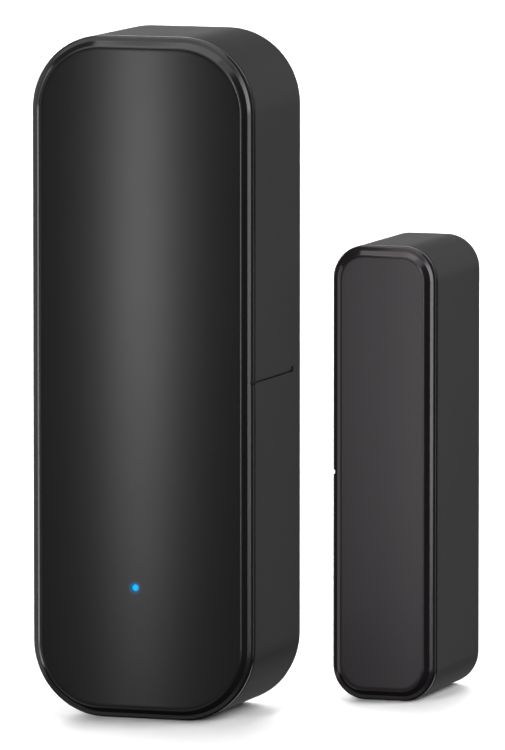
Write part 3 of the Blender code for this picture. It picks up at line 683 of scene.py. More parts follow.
def case_block(unit, name):
    """A case's solid outside, its front edge crisp and its back edge rounded."""
    path = rounded_path([
        (1.0 * MM, CASE_FRONT, 0.0),
        (0.0, CASE_FRONT, 0.06 * MM),
        (0.0, CASE_BACK, 0.20 * MM),
        (1.0 * MM, CASE_BACK, 0.0),
    ])
    shape = unit_outline(unit)
    return skin(name, [ring(shape, inset, unit.y + depth) for inset, depth in path])


def room(unit, name, inset, front, back, edge=0.0):
    """A rounded solid that follows a unit's walls, between two of its depths."""
    return plate(name, unit_outline(unit, inset), (unit.y + front, unit.y + back), edge)


MARK_WIDTH = 0.24 * MM
MARK_DEPTH = 0.35 * MM
MARK_BACK = -2.7 * MM
SLIT_LENGTH = 0.75 * MM
SLIT_HEIGHT = 0.45 * MM
SLIT_DEPTH = 0.8 * MM
NOTCH_RADIUS = 0.28 * MM
NOTCH_LENGTH = 2.5 * MM


def mark_tools(unit, side):
    """The alignment mark's fine line and its end slit, on the side that faces the other unit."""
    face = unit.x + side * unit.half_width
    back = unit.y + MARK_BACK
    x = sorted((face - side * MARK_DEPTH, face + side * OVER))
    y = (unit.y + CASE_FRONT - OVER, back)
    line = block("mark_line", x, y, about(unit.z, MARK_WIDTH / 2))
    x = sorted((face - side * SLIT_DEPTH, face + side * OVER))
    z = (unit.z - MARK_WIDTH / 3, unit.z + SLIT_HEIGHT)
    return [line, block("mark_slit", x, (back - SLIT_LENGTH, back), z, 0.05 * MM)]


def mark_notch(unit, side):
    """The small notch that the alignment mark ends in, across the cover's edge."""
    start = (unit.x + side * unit.half_width, unit.y + LID_EDGE - 1.5 * MM, unit.z)
    return rod("mark_notch", NOTCH_RADIUS, start, NOTCH_LENGTH, steps=HOLE_STEPS)


PAD_CORNER = 2.0 * MM


def pad_outline(node, grow=0.0):
    """A pad's outline, from its CAD box."""
    x, _, z = ranges_of(node)
    return outline(x, z, PAD_CORNER + grow, -grow)


def pad_seat(unit, node):
    """The sunk seat of a pad."""
    y = (unit.y + PAD_SEAT, unit.y + PAST_BACK)
    return plate("pad_seat", pad_outline(node, GAP), y, 0.1 * MM)


def adhesive_pad(node, body):
    """Die-cut foam tape: its sides pull in between two films, and its face swells slightly."""
    y = ranges_of(node)[1]
    deep = y[1] - y[0]
    path = [
        (1.2 * MM, 0.0), (0.5 * MM, 0.015 * MM), (0.12 * MM, 0.04 * MM), (0.02 * MM, 0.08 * MM),
        (0.05 * MM, deep * 0.30), (0.09 * MM, deep * 0.5), (0.05 * MM, deep * 0.70),
        (0.0, deep - 0.06 * MM), (0.03 * MM, deep),
    ]
    shape = pad_outline(node)
    pad = skin(node + "_foam", [ring(shape, inset, y[1] - depth) for inset, depth in path])
    place(pad, [node], [PAD_FOAM], body)


# ---- Sensor shells

INNER_HALF_WIDTH = SENSOR.half_width - WALL
INNER_HALF_HEIGHT = SENSOR.half_height - WALL
INNER_CORNER = SENSOR.corner - WALL
DIVIDER_TOP = -17.7 * MM
DIVIDER_BOTTOM = -18.5 * MM
DIVIDER_CORNER = 0.3 * MM
TONGUE_REACH = 0.6 * MM
TONGUE_BACK = -1.1 * MM
SLIDE_GAP = 0.03 * MM
SLOT_DEPTH = COVER_INNER - SLIDE_GAP
COVER_SLOT_HEIGHT = 6 * MM
BELOW_FLOOR = FLOOR_Z - 5 * MM
BOSS_RADIUS = 1.7 * MM
BOSS_FRONT = SHELF_FRONT + 0.2 * MM
BOSS_BACK = -11.4 * MM
BOSS_HOLE_LENGTH = 5 * MM
SCREW_HOLE = 1.0 * MM
REED_WINDOW = 9.6 * MM
TAB_WINDOW = 1.3 * MM
PIPE_GAP = 0.03 * MM
LED_POCKET = (0.45 * MM, 0.1 * MM)
HEAD_POCKET = 0.35 * MM
COVER_EDGE = 0.12 * MM
SCREW_NODES = ("board_screw_upper", "board_screw_lower")


def case_rooms():
    """The case's hollows: board room in front, battery bay and electronics bay behind."""
    half = INNER_HALF_WIDTH
    slot = half - GAP + SLIDE_GAP
    floor = -INNER_HALF_HEIGHT
    battery_bay = Outline(-half, half, DIVIDER_TOP, -floor, INNER_CORNER, DIVIDER_CORNER)
    electronics_bay = Outline(-half, half, floor, DIVIDER_BOTTOM, DIVIDER_CORNER, INNER_CORNER)
    y = (SLOT_DEPTH, PAST_BACK)
    relief = (DIVIDER_BOTTOM - OVER, DIVIDER_TOP + OVER)
    tools = [
        room(SENSOR, "board_room", WALL, PAST_FRONT, SHELF_FRONT),
        plate("battery_bay", battery_bay, (SHELF_BACK, PAST_BACK)),
        plate("electronics_bay", electronics_bay, (PAST_FRONT, PAST_BACK)),
        block("divider_relief", (-half, half), y, relief),
        block("cover_slot", (-slot, slot), y, (BELOW_FLOOR, floor + COVER_SLOT_HEIGHT)),
    ]
    tongue_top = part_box("rear_cover")[1].z - INNER_CORNER - GAP
    for side in (-1, 1):
        x = sorted((side * (half - GAP), side * (slot + TONGUE_REACH)))
        y = (SLOT_DEPTH, TONGUE_BACK + SLIDE_GAP)
        tools.append(block("groove", x, y, (BELOW_FLOOR, tongue_top)))
    return tools


def case_windows():
    """Holes through the shelf for the reed switch and the contact tabs."""
    shelf = (SHELF_FRONT - OVER, SHELF_BACK + 0.5 * MM)
    x = grown(ranges_of("reed_switch_glass")[0], GAP)
    tools = [block("reed_window", x, shelf, about(0, REED_WINDOW))]
    for node in ("negative_contact", "positive_contact"):
        x, _, z = ranges_of(node)
        tools.append(block("tab_window", about(sum(x) / 2, TAB_WINDOW), shelf, grown(z, GAP)))
    return tools


def main_case():
    """The sensor's deep tub, with its shelf, bosses, grooves and windows."""
    case = case_block(SENSOR, "sensor_case")
    combine(case, case_rooms())
    bosses = []
    holes = []
    for node in SCREW_NODES:
        z = middle_of(node).z
        bosses.append(rod("boss", BOSS_RADIUS, (0, BOSS_FRONT, z), BOSS_BACK - BOSS_FRONT))
        holes.append(rod("boss_hole", SCREW_HOLE, (0, CASE_FRONT, z), BOSS_HOLE_LENGTH))
    combine(case, bosses, "UNION")
    combine(case, holes + case_windows() + mark_tools(SENSOR, 1))
    place(case, ["main_case"], [CASE_PLASTIC])


def front_cover():
    """The sensor's front cover, with the light pipe's hole and pockets over LED and screws."""
    cover = skin("sensor_front_cover", cover_rings(SENSOR))
    x, y, z = ranges_of("status_led")
    reach = 2 * GAP
    deep, edge = LED_POCKET
    y = (y[0] - deep, LID_INNER + OVER)
    pocket = block("led_pocket", grown(x, reach), y, grown(z, reach), edge)
    start = (LAMP_FACE.x, PAST_FRONT, LAMP_FACE.z)
    hole = rod("pipe_hole", LAMP_RADIUS + PIPE_GAP, start, HOLE_LENGTH)
    tools = [pocket, hole, mark_notch(SENSOR, 1)]
    for node in SCREW_NODES:
        start, radius, _ = turned_in(node, (0, 1, 0))
        start.y -= HEAD_POCKET
        tools.append(rod("head_pocket", radius + reach, start, OVER))
    combine(cover, tools)
    place(cover, ["front_cover"], [PANEL_PLASTIC])


def light_pipe():
    """The clear pin in the front cover, with a domed tip in front."""
    profile = rounded_path([
        (0.0, 0.0, 0.0),
        (LAMP_RADIUS, 0.0, 0.06 * MM),
        (LAMP_RADIUS, LAMP_LENGTH - 0.06 * MM, 0.10 * MM),
        (0.0, LAMP_LENGTH, 0.0),
    ])
    pipe = lathe("light_pipe_pin", profile, LAMP_START, (0, -1, 0))
    place(pipe, ["light_pipe"], [LAMP])


GRIP_COUNT = 3
GRIP_PITCH = 1.6 * MM
GRIP_START = 1.9 * MM
GRIP_HALF_WIDTH = 4.5 * MM
GRIP_SIZE = 0.5 * MM
GRIP_CORNER = GRIP_SIZE / 2 * 0.98
GRIP_EDGE = 0.15 * MM
TONGUE_START = COVER_INNER + 0.05 * MM
TONGUE_LOW = FLOOR_Z - 4 * MM
TONGUE_BELOW_TOP = 6.5 * MM


def rear_cover():
    """The sliding plate: rounded top, tongues along its sides, pad seat and finger grips."""
    low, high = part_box("rear_cover")
    half = INNER_HALF_WIDTH - GAP
    shape = Outline(-half, half, BELOW_FLOOR, high.z, INNER_CORNER - GAP, 0.0)
    cover = plate("sliding_rear_cover", shape, (COVER_INNER, CASE_BACK), COVER_EDGE)
    tongues = []
    for side in (-1, 1):
        x = sorted((side * (half - MM), side * (half + TONGUE_REACH)))
        z = (TONGUE_LOW, high.z - TONGUE_BELOW_TOP)
        tongues.append(block("tongue", x, (TONGUE_START, TONGUE_BACK), z, COVER_EDGE))
    combine(cover, tongues, "UNION")
    outside = room(SENSOR, "outside", 0.0, COVER_INNER - OVER, PAST_BACK)
    combine(cover, [outside], "INTERSECT")
    tools = [pad_seat(SENSOR, "sensor_adhesive_pad")]
    for index in range(GRIP_COUNT):
        z = low.z + GRIP_START + index * GRIP_PITCH
        groove = outline(about(0, GRIP_HALF_WIDTH), (z, z + GRIP_SIZE), GRIP_CORNER)
        tools.append(plate("grip", groove, (CASE_BACK - GRIP_SIZE, PAST_BACK), GRIP_EDGE))
    combine(cover, tools)
    place(cover, ["rear_cover"], [CASE_PLASTIC], "sliding_cover")


# ---- Batteries and contacts

CELL_NUB_RADIUS = 1.9 * MM
CELL_NUB_LENGTH = 0.8 * MM


def battery(node, up):
    """A AAA cell: sleeve, crimped shoulder, insulating ring, nub and dished negative end."""
    start, radius, whole = turned_in(node, (0, 0, up))
    length = whole - CELL_NUB_LENGTH
    nub = CELL_NUB_RADIUS
    end = radius - 0.04 * MM
    face = length - 0.02 * MM
    profile = rounded_path([
        (0.0, length + CELL_NUB_LENGTH, 0.0),
        (nub, length + CELL_NUB_LENGTH, 0.28 * MM),
        (nub * 1.04, length - 0.12 * MM, 0.08 * MM),
        (nub + 0.35 * MM, length - 0.12 * MM, 0.06 * MM),
        (nub + 0.55 * MM, face, 0.05 * MM),
        (radius - 1.15 * MM, face, 0.05 * MM),
        (radius - 1.00 * MM, length - 0.22 * MM, 0.05 * MM),
        (radius - 0.85 * MM, face, 0.04 * MM),
        (end, length, 0.30 * MM),
        (end, length - 1.15 * MM, 0.05 * MM),
        (radius, length - 1.2 * MM, 0.03 * MM),
        (radius, 0.95 * MM, 0.03 * MM),
        (end, 0.9 * MM, 0.03 * MM),
        (end, 0.0, 0.35 * MM),
        (radius - 1.1 * MM, 0.0, 0.15 * MM),
        (radius - 1.3 * MM, 0.12 * MM, 0.05 * MM),
        (0.0, 0.12 * MM, 0.0),
    ])
    cell = lathe(node + "_cell", profile, start, (0, 0, up), CELL_STEPS)

    def part_of(face):
        away = (face.center.xy - start.xy).length
        height = abs(face.center.z - start.z)
        if height > length - 0.5 * MM and nub + 0.45 * MM < away < radius - 1.05 * MM:
            return 2
        on_sleeve = away > radius - 0.9 * MM and face.normal.xy.length > 0.15
        return 0 if on_sleeve or away > radius - 0.8 * MM else 1

    sleeve = battery_sleeve(node, start.z + up * whole, up)
    place(cell, [node], [sleeve, TIN, END_RING], choose=part_of)


SPRING_WIRE = 0.25 * MM
SPRING_WIDE = 3.0 * MM
SPRING_NARROW = 2.0 * MM
SPRING_TURNS = 3.0
SPRING_POINTS = 36
FLAT_TURNS = 0.35


def contact_spring(node, cell, wide_below):
    """A conical coil whose first and last turns lie flat on what they press against."""
    low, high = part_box(node)
    middle = middle_of(cell)
    bottom = low.z + SPRING_WIRE
    top = high.z - SPRING_WIRE
    total = int(SPRING_TURNS * SPRING_POINTS)
    points = []
    for index in range(total + 1):
        share = index / total
        climb = share * share * (3 - 2 * share) * FLAT_TURNS + share * (1 - FLAT_TURNS)
        wide = 1 - share if wide_below else share
        radius = SPRING_NARROW + (SPRING_WIDE - SPRING_NARROW) * wide
        angle = 2 * math.pi * SPRING_TURNS * share
        x = middle.x + radius * math.cos(angle)
        y = middle.y + radius * math.sin(angle)
        points.append((x, y, bottom + (top - bottom) * climb))
    spring = tube(node + "_coil", points, SPRING_WIRE)
    place(spring, [node], [SPRING_STEEL])


CONTACT_FRONT = -11.8 * MM
CONTACT_CORNER = 0.8 * MM
CONTACT_EDGE = 0.05 * MM
TAB_HALF_WIDTH = 1.0 * MM
RIVET_RADIUS = 0.35 * MM
RIVET_OFFSET = 3.1 * MM
SLOT_HALF = (1.6 * MM, 0.6 * MM)
SLOT_EDGE = 0.3 * MM


def contact_plate(node, x, y, z, tab, slots):
    """A stamped plate with rounded corners, its tab and its slots."""
    contact = block(node + "_plate", x, y, z, CONTACT_CORNER, 6, upright_only=True)
    if tab:
        combine(contact, [tab], "UNION")
    combine(contact, slots)
    soften(contact, CONTACT_EDGE)
    place(contact, [node], [NICKEL])


def lower_contact(node):
    """A contact plate with two rivet holes, and the tab that reaches the board."""
    x, y, z = ranges_of(node)
    middle = sum(x) / 2
    tab = block("tab", about(middle, TAB_HALF_WIDTH), (y[0], CONTACT_FRONT + OVER), z)
    holes = []
    for at in about(middle, RIVET_OFFSET):
        start = (at, CONTACT_FRONT + 0.9 * MM, z[0] - OVER)
        holes.append(rod("rivet_hole", RIVET_RADIUS, start, HOLE_LENGTH, (0, 0, 1), 24))
    contact_plate(node, x, (CONTACT_FRONT, y[1]), z, tab, holes)


def bridge_contact():
    """The long plate that joins the cells, with a slot in its middle."""
    x, y, z = ranges_of("bridge_contact")
    slot_x, slot_y = about(0, SLOT_HALF[0]), about(sum(y) / 2, SLOT_HALF[1])
    slot = block("slot", slot_x, slot_y, grown(z, OVER), SLOT_EDGE, 4)
    contact_plate("bridge_contact", x, y, z, None, [slot])


# ---- Circuit board and its parts

BOARD_CORNER = SENSOR_CORNER - 2.6 * MM
BOARD_EDGE = 0.04 * MM


def circuit_board():
    """The board behind the front cover, with its two screw holes."""
    x, y, z = ranges_of("circuit_board")
    board = plate("circuit_board_panel", outline(x, z, BOARD_CORNER), y, BOARD_EDGE)
    starts = [(0, y[0] - OVER, middle_of(node).z) for node in SCREW_NODES]
    combine(board, [rod("hole", SCREW_HOLE, start, HOLE_LENGTH) for start in starts])
    place(board, ["circuit_board"], [GREEN_MASK])


CASTELLATION_PITCH = 1.5 * MM
CASTELLATION_RADIUS = 0.3 * MM
CASTELLATION_START = 1.6 * MM
CASTELLATIONS = 6


def module_board():
    """The radio module's small board, with half holes along its two sides."""
    x, y, z = ranges_of("wifi_module_board")
    board = block("radio_module_board", x, y, z, BOARD_EDGE)
    holes = []
    for side in x:
        for index in range(CASTELLATIONS):
            start = (side, y[0] - OVER, z[1] - CASTELLATION_START - index * CASTELLATION_PITCH)
            holes.append(rod("half_hole", CASTELLATION_RADIUS, start, HOLE_LENGTH, steps=16))
    combine(board, holes)
    place(board, ["wifi_module_board"], [MODULE_MASK])


ANTENNA_TRACK = 0.35 * MM
ANTENNA_LEGS = 6
ANTENNA_HEIGHT = 2.2 * MM
ANTENNA_PITCH = 1.5 * MM
ANTENNA_CORNER = (1.2 * MM, 0.5 * MM)
TRACK_THICKNESS = 0.04 * MM


def antenna():
    """The module's aerial: a flat copper track that winds up and down beside the can."""
    x, y, z = ranges_of("wifi_module_board")
    left = x[0] + ANTENNA_CORNER[0]
    bottom = z[0] + ANTENNA_CORNER[1]
    top = bottom + ANTENNA_HEIGHT
    deep = (y[1], y[1] + TRACK_THICKNESS)
    tracks = []
    for leg in range(ANTENNA_LEGS):
        at = left + leg * ANTENNA_PITCH
        tracks.append(block("leg", (at, at + ANTENNA_TRACK), deep, (bottom, top)))
        if leg < ANTENNA_LEGS - 1:
            edge = top if leg % 2 == 0 else bottom + ANTENNA_TRACK
            step = (at + ANTENNA_TRACK, at + ANTENNA_PITCH)
            tracks.append(block("turn", step, deep, (edge - ANTENNA_TRACK, edge)))
    place(merge("radio_module_antenna", tracks), [], [GOLD])


VENT_COUNT = 5
VENT_PITCH = 1.5 * MM
VENT_RADIUS = 0.28 * MM
VENT_START = (1.8 * MM, 1.0 * MM)
VENT_DEEP = 0.25 * MM
CAN_CORNER = 0.6 * MM
CAN_EDGE = 0.22 * MM
# The pick-up mark, in from the can's sides, bottom and top, then its corner and its depth.
PICK_UP_INSET = (2.6 * MM, 2.0 * MM, 2.4 * MM)
PICK_UP_CORNER = 0.5 * MM
PICK_UP_DEEP = 0.08 * MM


def shield_can():
    """The drawn steel lid over the radio: rounded corners, a vent row and a pick-up mark."""
    x, y, z = ranges_of("wifi_shield_can")
    can = plate("radio_shield_can", outline(x, z, CAN_CORNER), y, CAN_EDGE)
    tools = []
    for index in range(VENT_COUNT):
        at = x[0] + VENT_START[0] + index * VENT_PITCH
        start = (at, y[1] - VENT_DEEP, z[1] - VENT_START[1])
        tools.append(rod("vent", VENT_RADIUS, start, OVER, steps=HOLE_STEPS))
    side, below, above = PICK_UP_INSET
    mark = outline(grown(x, -side), (z[0] + below, z[1] - above), PICK_UP_CORNER)
    deep = (y[1] - PICK_UP_DEEP, y[1] + OVER)
    tools.append(plate("pick_up_mark", mark, deep, 0.05 * MM))
    combine(can, tools)
    place(can, ["wifi_shield_can"], [TIN])


def bulk_capacitor():
    """An electrolytic can: rubber foot, crimp, sleeve and a scored cross on its end."""
    start, radius, length = turned_in("bulk_capacitor", (0, 1, 0))
    end = start.y + length
    sunk = length - 0.06 * MM
    profile = rounded_path([
        (0.0, sunk, 0.0),
        (radius * 0.72, sunk, 0.05 * MM),
        (radius * 0.78, length, 0.05 * MM),
        (radius, length, 0.28 * MM),
        (radius, 1.35 * MM, 0.10 * MM),
        (radius - 0.18 * MM, 1.05 * MM, 0.10 * MM),
        (radius, 0.75 * MM, 0.10 * MM),
        (radius, 0.0, 0.15 * MM),
        (0.0, 0.0, 0.0),
    ])
    can = lathe("bulk_capacitor_can", profile, start, (0, 1, 0))
    score = (end - 0.16 * MM, end + OVER)
    combine(can, cross("score", start, score, radius * 0.6, 0.05 * MM))

    def part_of(face):
        return 0 if face.normal.y > 0.5 and face.center.y > end - 0.3 * MM else 1

    place(can, ["bulk_capacitor"], [ALUMINIUM, CAN_SLEEVE], choose=part_of)


LID_DEEP = 0.35 * MM
LID_INSET = 0.12 * MM
WELL_RADIUS = 1.95 * MM
STUD_RADIUS = 0.3 * MM


def reset_switch():
    """The tact switch's body: black base, steel lid with a round well and four studs."""
    x, y, z = ranges_of("reset_switch_body")
    base = block("reset_switch_base", x, (y[0], y[1] - LID_DEEP), z, 0.15 * MM, 3)
    shape = outline(x, z, 0.35 * MM, LID_INSET)
    cover = plate("lid", shape, (y[1] - LID_DEEP - 0.2 * MM, y[1]), 0.1 * MM)
    middle = middle_of("reset_switch_body")
    well = rod("well", WELL_RADIUS, (middle.x, y[1] - 0.2 * MM, middle.z), OVER)
    combine(cover, [well])
    x, z = around(middle, WELL_RADIUS, WELL_RADIUS)
    starts = [(at_x, y[1] - 0.12 * MM, at_z) for at_x in x for at_z in z]
    studs = [rod("stud", STUD_RADIUS, start, 0.1 * MM, steps=HOLE_STEPS) for start in starts]
    plastic = len(base.data.polygons)
    body = merge("reset_switch", [base, cover, *studs])
    place(
        body, ["reset_switch_body"], [SWITCH_PLASTIC, TIN],
        choose=lambda face: int(face.index >= plastic),
    )


BUTTON_STEM = 1.7 * MM
BUTTON_CAP = 1.4 * MM


def reset_button():
    """The switch's long button, its cap dished for a fingertip or a pen."""
    start, radius, length = turned_in("reset_button", (0, 1, 0))
    profile = rounded_path([
        (0.0, length - 0.30 * MM, 0.0),
        (radius * 0.55, length - 0.22 * MM, 1.2 * MM),
        (radius * 0.86, length, 0.12 * MM),
        (radius, length, 0.16 * MM),
        (radius, length - BUTTON_CAP, 0.15 * MM),
        (BUTTON_STEM, length - BUTTON_CAP, 0.12 * MM),
        (BUTTON_STEM * 0.985, 0.0, 0.08 * MM),
        (0.0, 0.0, 0.0),
    ])
    button = lathe("reset_switch_button", profile, start, (0, 1, 0))
    place(button, ["reset_button"], [BUTTON_PLASTIC], "button")


LENS_DEEP = 0.12 * MM
LED_END = 0.28 * MM


def status_led():
    """The surface-mount lamp: a pale body, a lens in front and two plated ends."""
    x, y, z = ranges_of("status_led")
    body = block("body", grown(x, -0.02 * MM), (y[0] + LENS_DEEP, y[1]), z, 0.03 * MM)
    shape = outline(grown(x, -LED_END), grown(z, -0.05 * MM), 0.12 * MM)
    lens = plate("lens", shape, (y[0], y[0] + 2 * LENS_DEEP), 0.05 * MM)
    ends = []
    for end_x in ((x[0], x[0] + LED_END), (x[1] - LED_END, x[1])):
        ends.append(block("end", end_x, (y[0] + 1.5 * LENS_DEEP, y[1]), z, 0.02 * MM))
    plastic = len(body.data.polygons) + len(lens.data.polygons)
    led = merge("status_led_lamp", [body, lens, *ends])
    place(
        led, ["status_led"], [LED_RESIN, GOLD],
        choose=lambda face: int(face.index >= plastic),
    )


THREAD_PITCH = 0.4 * MM
HEAD_DEEP = 0.5 * MM


def board_screw(node):
    """A pan-head screw with a cross recess, a threaded shank and a point."""
    start, head, length = turned_in(node, (0, 1, 0))
    shank = head / 2
    root = shank * 0.8
    profile = [(0.0, 0.0, 0.0), (head * 0.80, 0.0, 0.14 * MM), (head, 0.28 * MM, 0.10 * MM)]
    profile += [(head, HEAD_DEEP, 0.03 * MM), (root, HEAD_DEEP, 0.0)]
    along = HEAD_DEEP + 0.3 * MM
    while along < length - 0.8 * MM:
        profile += [(root, along, 0.0), (shank, along + THREAD_PITCH / 2, 0.0)]
        along += THREAD_PITCH
    profile += [(shank * 0.7, length - 0.6 * MM, 0.0), (0.0, length, 0.0)]
    screw = lathe(node + "_steel", rounded_path(profile), start, (0, 1, 0))
    recess = (start.y - OVER, start.y + 0.32 * MM)
    combine(screw, cross("recess", start, recess, 0.75 * MM, 0.14 * MM))
    place(screw, [node], [SCREW_STEEL])


GLASS_WALL = 0.2 * MM
SEAL_HOLE = 0.36 * MM
SEAL_LENGTH = 0.7 * MM
SEAL_SLOPE = 0.35 * MM


def reed_glass():
    """The reed switch's capsule: a thin tube whose ends are melted down round the blades."""
    start, radius, length = turned_in("reed_switch_glass", (0, 0, 1))
    inside = radius - GLASS_WALL
    profile = rounded_path([
        (SEAL_HOLE, 0.0, 0.0),
        (radius * 0.75, 0.0, 0.22 * MM),
        (radius, 0.45 * MM, 0.30 * MM),
        (radius, length - 0.45 * MM, 0.30 * MM),
        (radius * 0.75, length, 0.22 * MM),
        (SEAL_HOLE, length, 0.0),
        (SEAL_HOLE, length - SEAL_LENGTH, 0.05 * MM),
        (inside, length - SEAL_LENGTH - SEAL_SLOPE, 0.15 * MM),
        (inside, SEAL_LENGTH + SEAL_SLOPE, 0.15 * MM),
        (SEAL_HOLE, SEAL_LENGTH, 0.0),
    ])
    glass = lathe("reed_switch_capsule", profile, start, (0, 0, 1))
    place(glass, ["reed_switch_glass"], [REED_GLASS])


BLADE_THICKNESS = 0.2 * MM
BLADE_TAPER = 0.7
BLADE_SHANK = 3.0 * MM
BLADE_BEND = 0.25 * MM


def reed_blade(node, body, side):
    """A flattened blade: broad at its contact, narrow in the seal, bent down to the board."""
    x, y, z = ranges_of(node)
    middle = sum(x) / 2
    half = (x[1] - x[0]) / 2
    seal = half * BLADE_TAPER
    tip, outer = z if side > 0 else z[::-1]
    back = y[1]
    front = back - BLADE_THICKNESS
    behind = tip + side * 0.15 * MM
    narrow = outer - side * BLADE_SHANK
    broad = narrow - side * 1.2 * MM
    foot = outer - side * BLADE_THICKNESS
    # Half width, then depth and height of the front face and of the back face.
    stations = [
        (half * 0.9, (front, tip), (back, tip)),
        (half, (front, behind), (back, behind)),
        (half, (front, broad), (back, broad)),
        (seal, (front, narrow), (back, narrow)),
        (seal, (front, outer - side * 0.45 * MM), (back, outer - side * BLADE_BEND)),
        (seal, (front - BLADE_BEND, foot), (back - BLADE_BEND, outer)),
        (seal, (y[0], foot), (y[0], outer)),
    ]
    rings = []
    for width, near, far in stations:
        left, right = about(middle, width)
        rings.append([(left, *near), (right, *near), (right, *far), (left, *far)])
    blade = skin(node + "_strip", rings)
    soften(blade, 0.03 * MM)
    place(blade, [node], [NICKEL], body)


# ---- Magnet unit

BAR_HALF = (3.0 * MM, 10.0 * MM)
CRADLE_BACK = -9.5 * MM
CRADLE_END = 0.9 * MM
RIB_HALF = (2.2 * MM, 8.0 * MM)
RIB_THICKNESS = 1.0 * MM


def magnet_case():
    """The magnet unit's tub, with a shelf and the cradle of the bar magnet."""
    case = case_block(MAGNET, "magnet_unit_case")
    combine(case, [
        room(MAGNET, "front_room", WALL, PAST_FRONT, SHELF_FRONT),
        room(MAGNET, "back_room", WALL, SHELF_BACK, PAST_BACK),
    ])
    bar_x, bar_z = (half + GAP for half in BAR_HALF)
    shelf = MAGNET.y + SHELF_BACK
    x, z = around(MAGNET, MAGNET.half_width - WALL / 2, bar_z + CRADLE_END)
    cradle = block("cradle", x, (shelf - ROOTED, MAGNET.y + CRADLE_BACK), z)
    combine(case, [cradle], "UNION")
    x, z = around(MAGNET, bar_x, bar_z)
    seat = block("seat", x, (shelf, MAGNET.y + CRADLE_BACK + OVER), z)
    combine(case, [seat] + mark_tools(MAGNET, -1))
    place(case, ["magnet_case"], [CASE_PLASTIC], "magnet_unit")


def magnet_front_cover():
    """The magnet unit's front cover, the same rim and panel as the sensor's."""
    cover = skin("magnet_unit_front_cover", cover_rings(MAGNET))
    combine(cover, [mark_notch(MAGNET, -1)])
    place(cover, ["magnet_front_cover"], [MAGNET_PLASTIC], "magnet_unit")


def magnet_rear_cover():
    """The snapped-in back plate with the hollow rib that presses on the foam."""
    foam_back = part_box("magnet_foam")[1].y
    inner = MAGNET.y + COVER_INNER
    cover = room(
        MAGNET, "magnet_unit_rear_cover", WALL + GAP, COVER_INNER, CASE_BACK, COVER_EDGE,
    )
    x, z = around(MAGNET, *RIB_HALF)
    rib = block("rib", x, (foam_back + GAP, inner + ROOTED), z)
    combine(cover, [rib], "UNION")
    x, z = around(MAGNET, *(half - RIB_THICKNESS for half in RIB_HALF))
    hollow = block("rib_room", x, (foam_back - OVER, inner), z)
    combine(cover, [hollow, pad_seat(MAGNET, "magnet_adhesive_pad")])
    place(cover, ["magnet_rear_cover"], [CASE_PLASTIC], "magnet_unit")


def bar_magnet():
    """The nickel-plated bar magnet, its edges chamfered and tumbled."""
    bar = block("bar_magnet_plated", *ranges_of("bar_magnet"), 0.3 * MM, 4)
    place(bar, ["bar_magnet"], [NICKEL], "magnet_unit")


def magnet_foam():
    """The foam block between rib and magnet: its sides pull in where it is squeezed."""
    x, y, z = ranges_of("magnet_foam")
    deep = y[1] - y[0]
    shape = outline(x, z, 0.5 * MM)
    path = [(0.9 * MM, 0.0), (0.25 * MM, 0.03 * MM), (0.06 * MM, 0.18 * MM), (0.0, 0.45 * MM)]
    path += [(0.10 * MM, deep * 0.35), (0.14 * MM, deep * 0.5), (0.10 * MM, deep * 0.65)]
    path += [(inset, deep - depth) for inset, depth in path[3::-1]]
    rings = [ring(shape, inset, y[0] + depth) for inset, depth in path]
    foam_block = skin("magnet_foam_block", rings)
    place(foam_block, ["magnet_foam"], [BLACK_FOAM], "magnet_unit")


# ---- Everything in place

main_case()
front_cover()
light_pipe()
rear_cover()
adhesive_pad("sensor_adhesive_pad", "sliding_cover")
battery("battery_left", 1)
battery("battery_right", -1)
contact_spring("negative_spring", "battery_left", True)
contact_spring("bridge_spring", "battery_right", False)
lower_contact("negative_contact")
lower_contact("positive_contact")
bridge_contact()
circuit_board()
module_board()
antenna()
shield_can()
bulk_capacitor()
reset_switch()
reset_button()
status_led()
for screw_node in SCREW_NODES:
    board_screw(screw_node)
reed_glass()
reed_blade("reed_blade_upper", "sensor", 1)
reed_blade("reed_blade_lower", "reed_blade", -1)
magnet_case()
magnet_front_cover()
magnet_rear_cover()
bar_magnet()
magnet_foam()
adhesive_pad("magnet_adhesive_pad", "magnet_unit")


# ---- Floor, light and camera

FLOOR_HALF = 3.0
WHITE = (1.0, 1.0, 1.0, 1.0)
# The room's light on everything but the camera, and the heights between which it rises.
ROOM_LIGHT = 0.02
ROOM_HEIGHTS = (-0.35, 0.25)
# Suns that reach the floor alone: yaw and elevation in degrees, spread in degrees, strength.
FLOOR_LIGHTS = [
    (199, 81, 19, 1.45),
    (109, 40, 40, 2.50),
    (199, 15, 30, 5.60),
    (229, 30, 35, 1.10),
    (349, 15, 30, 2.80),
]
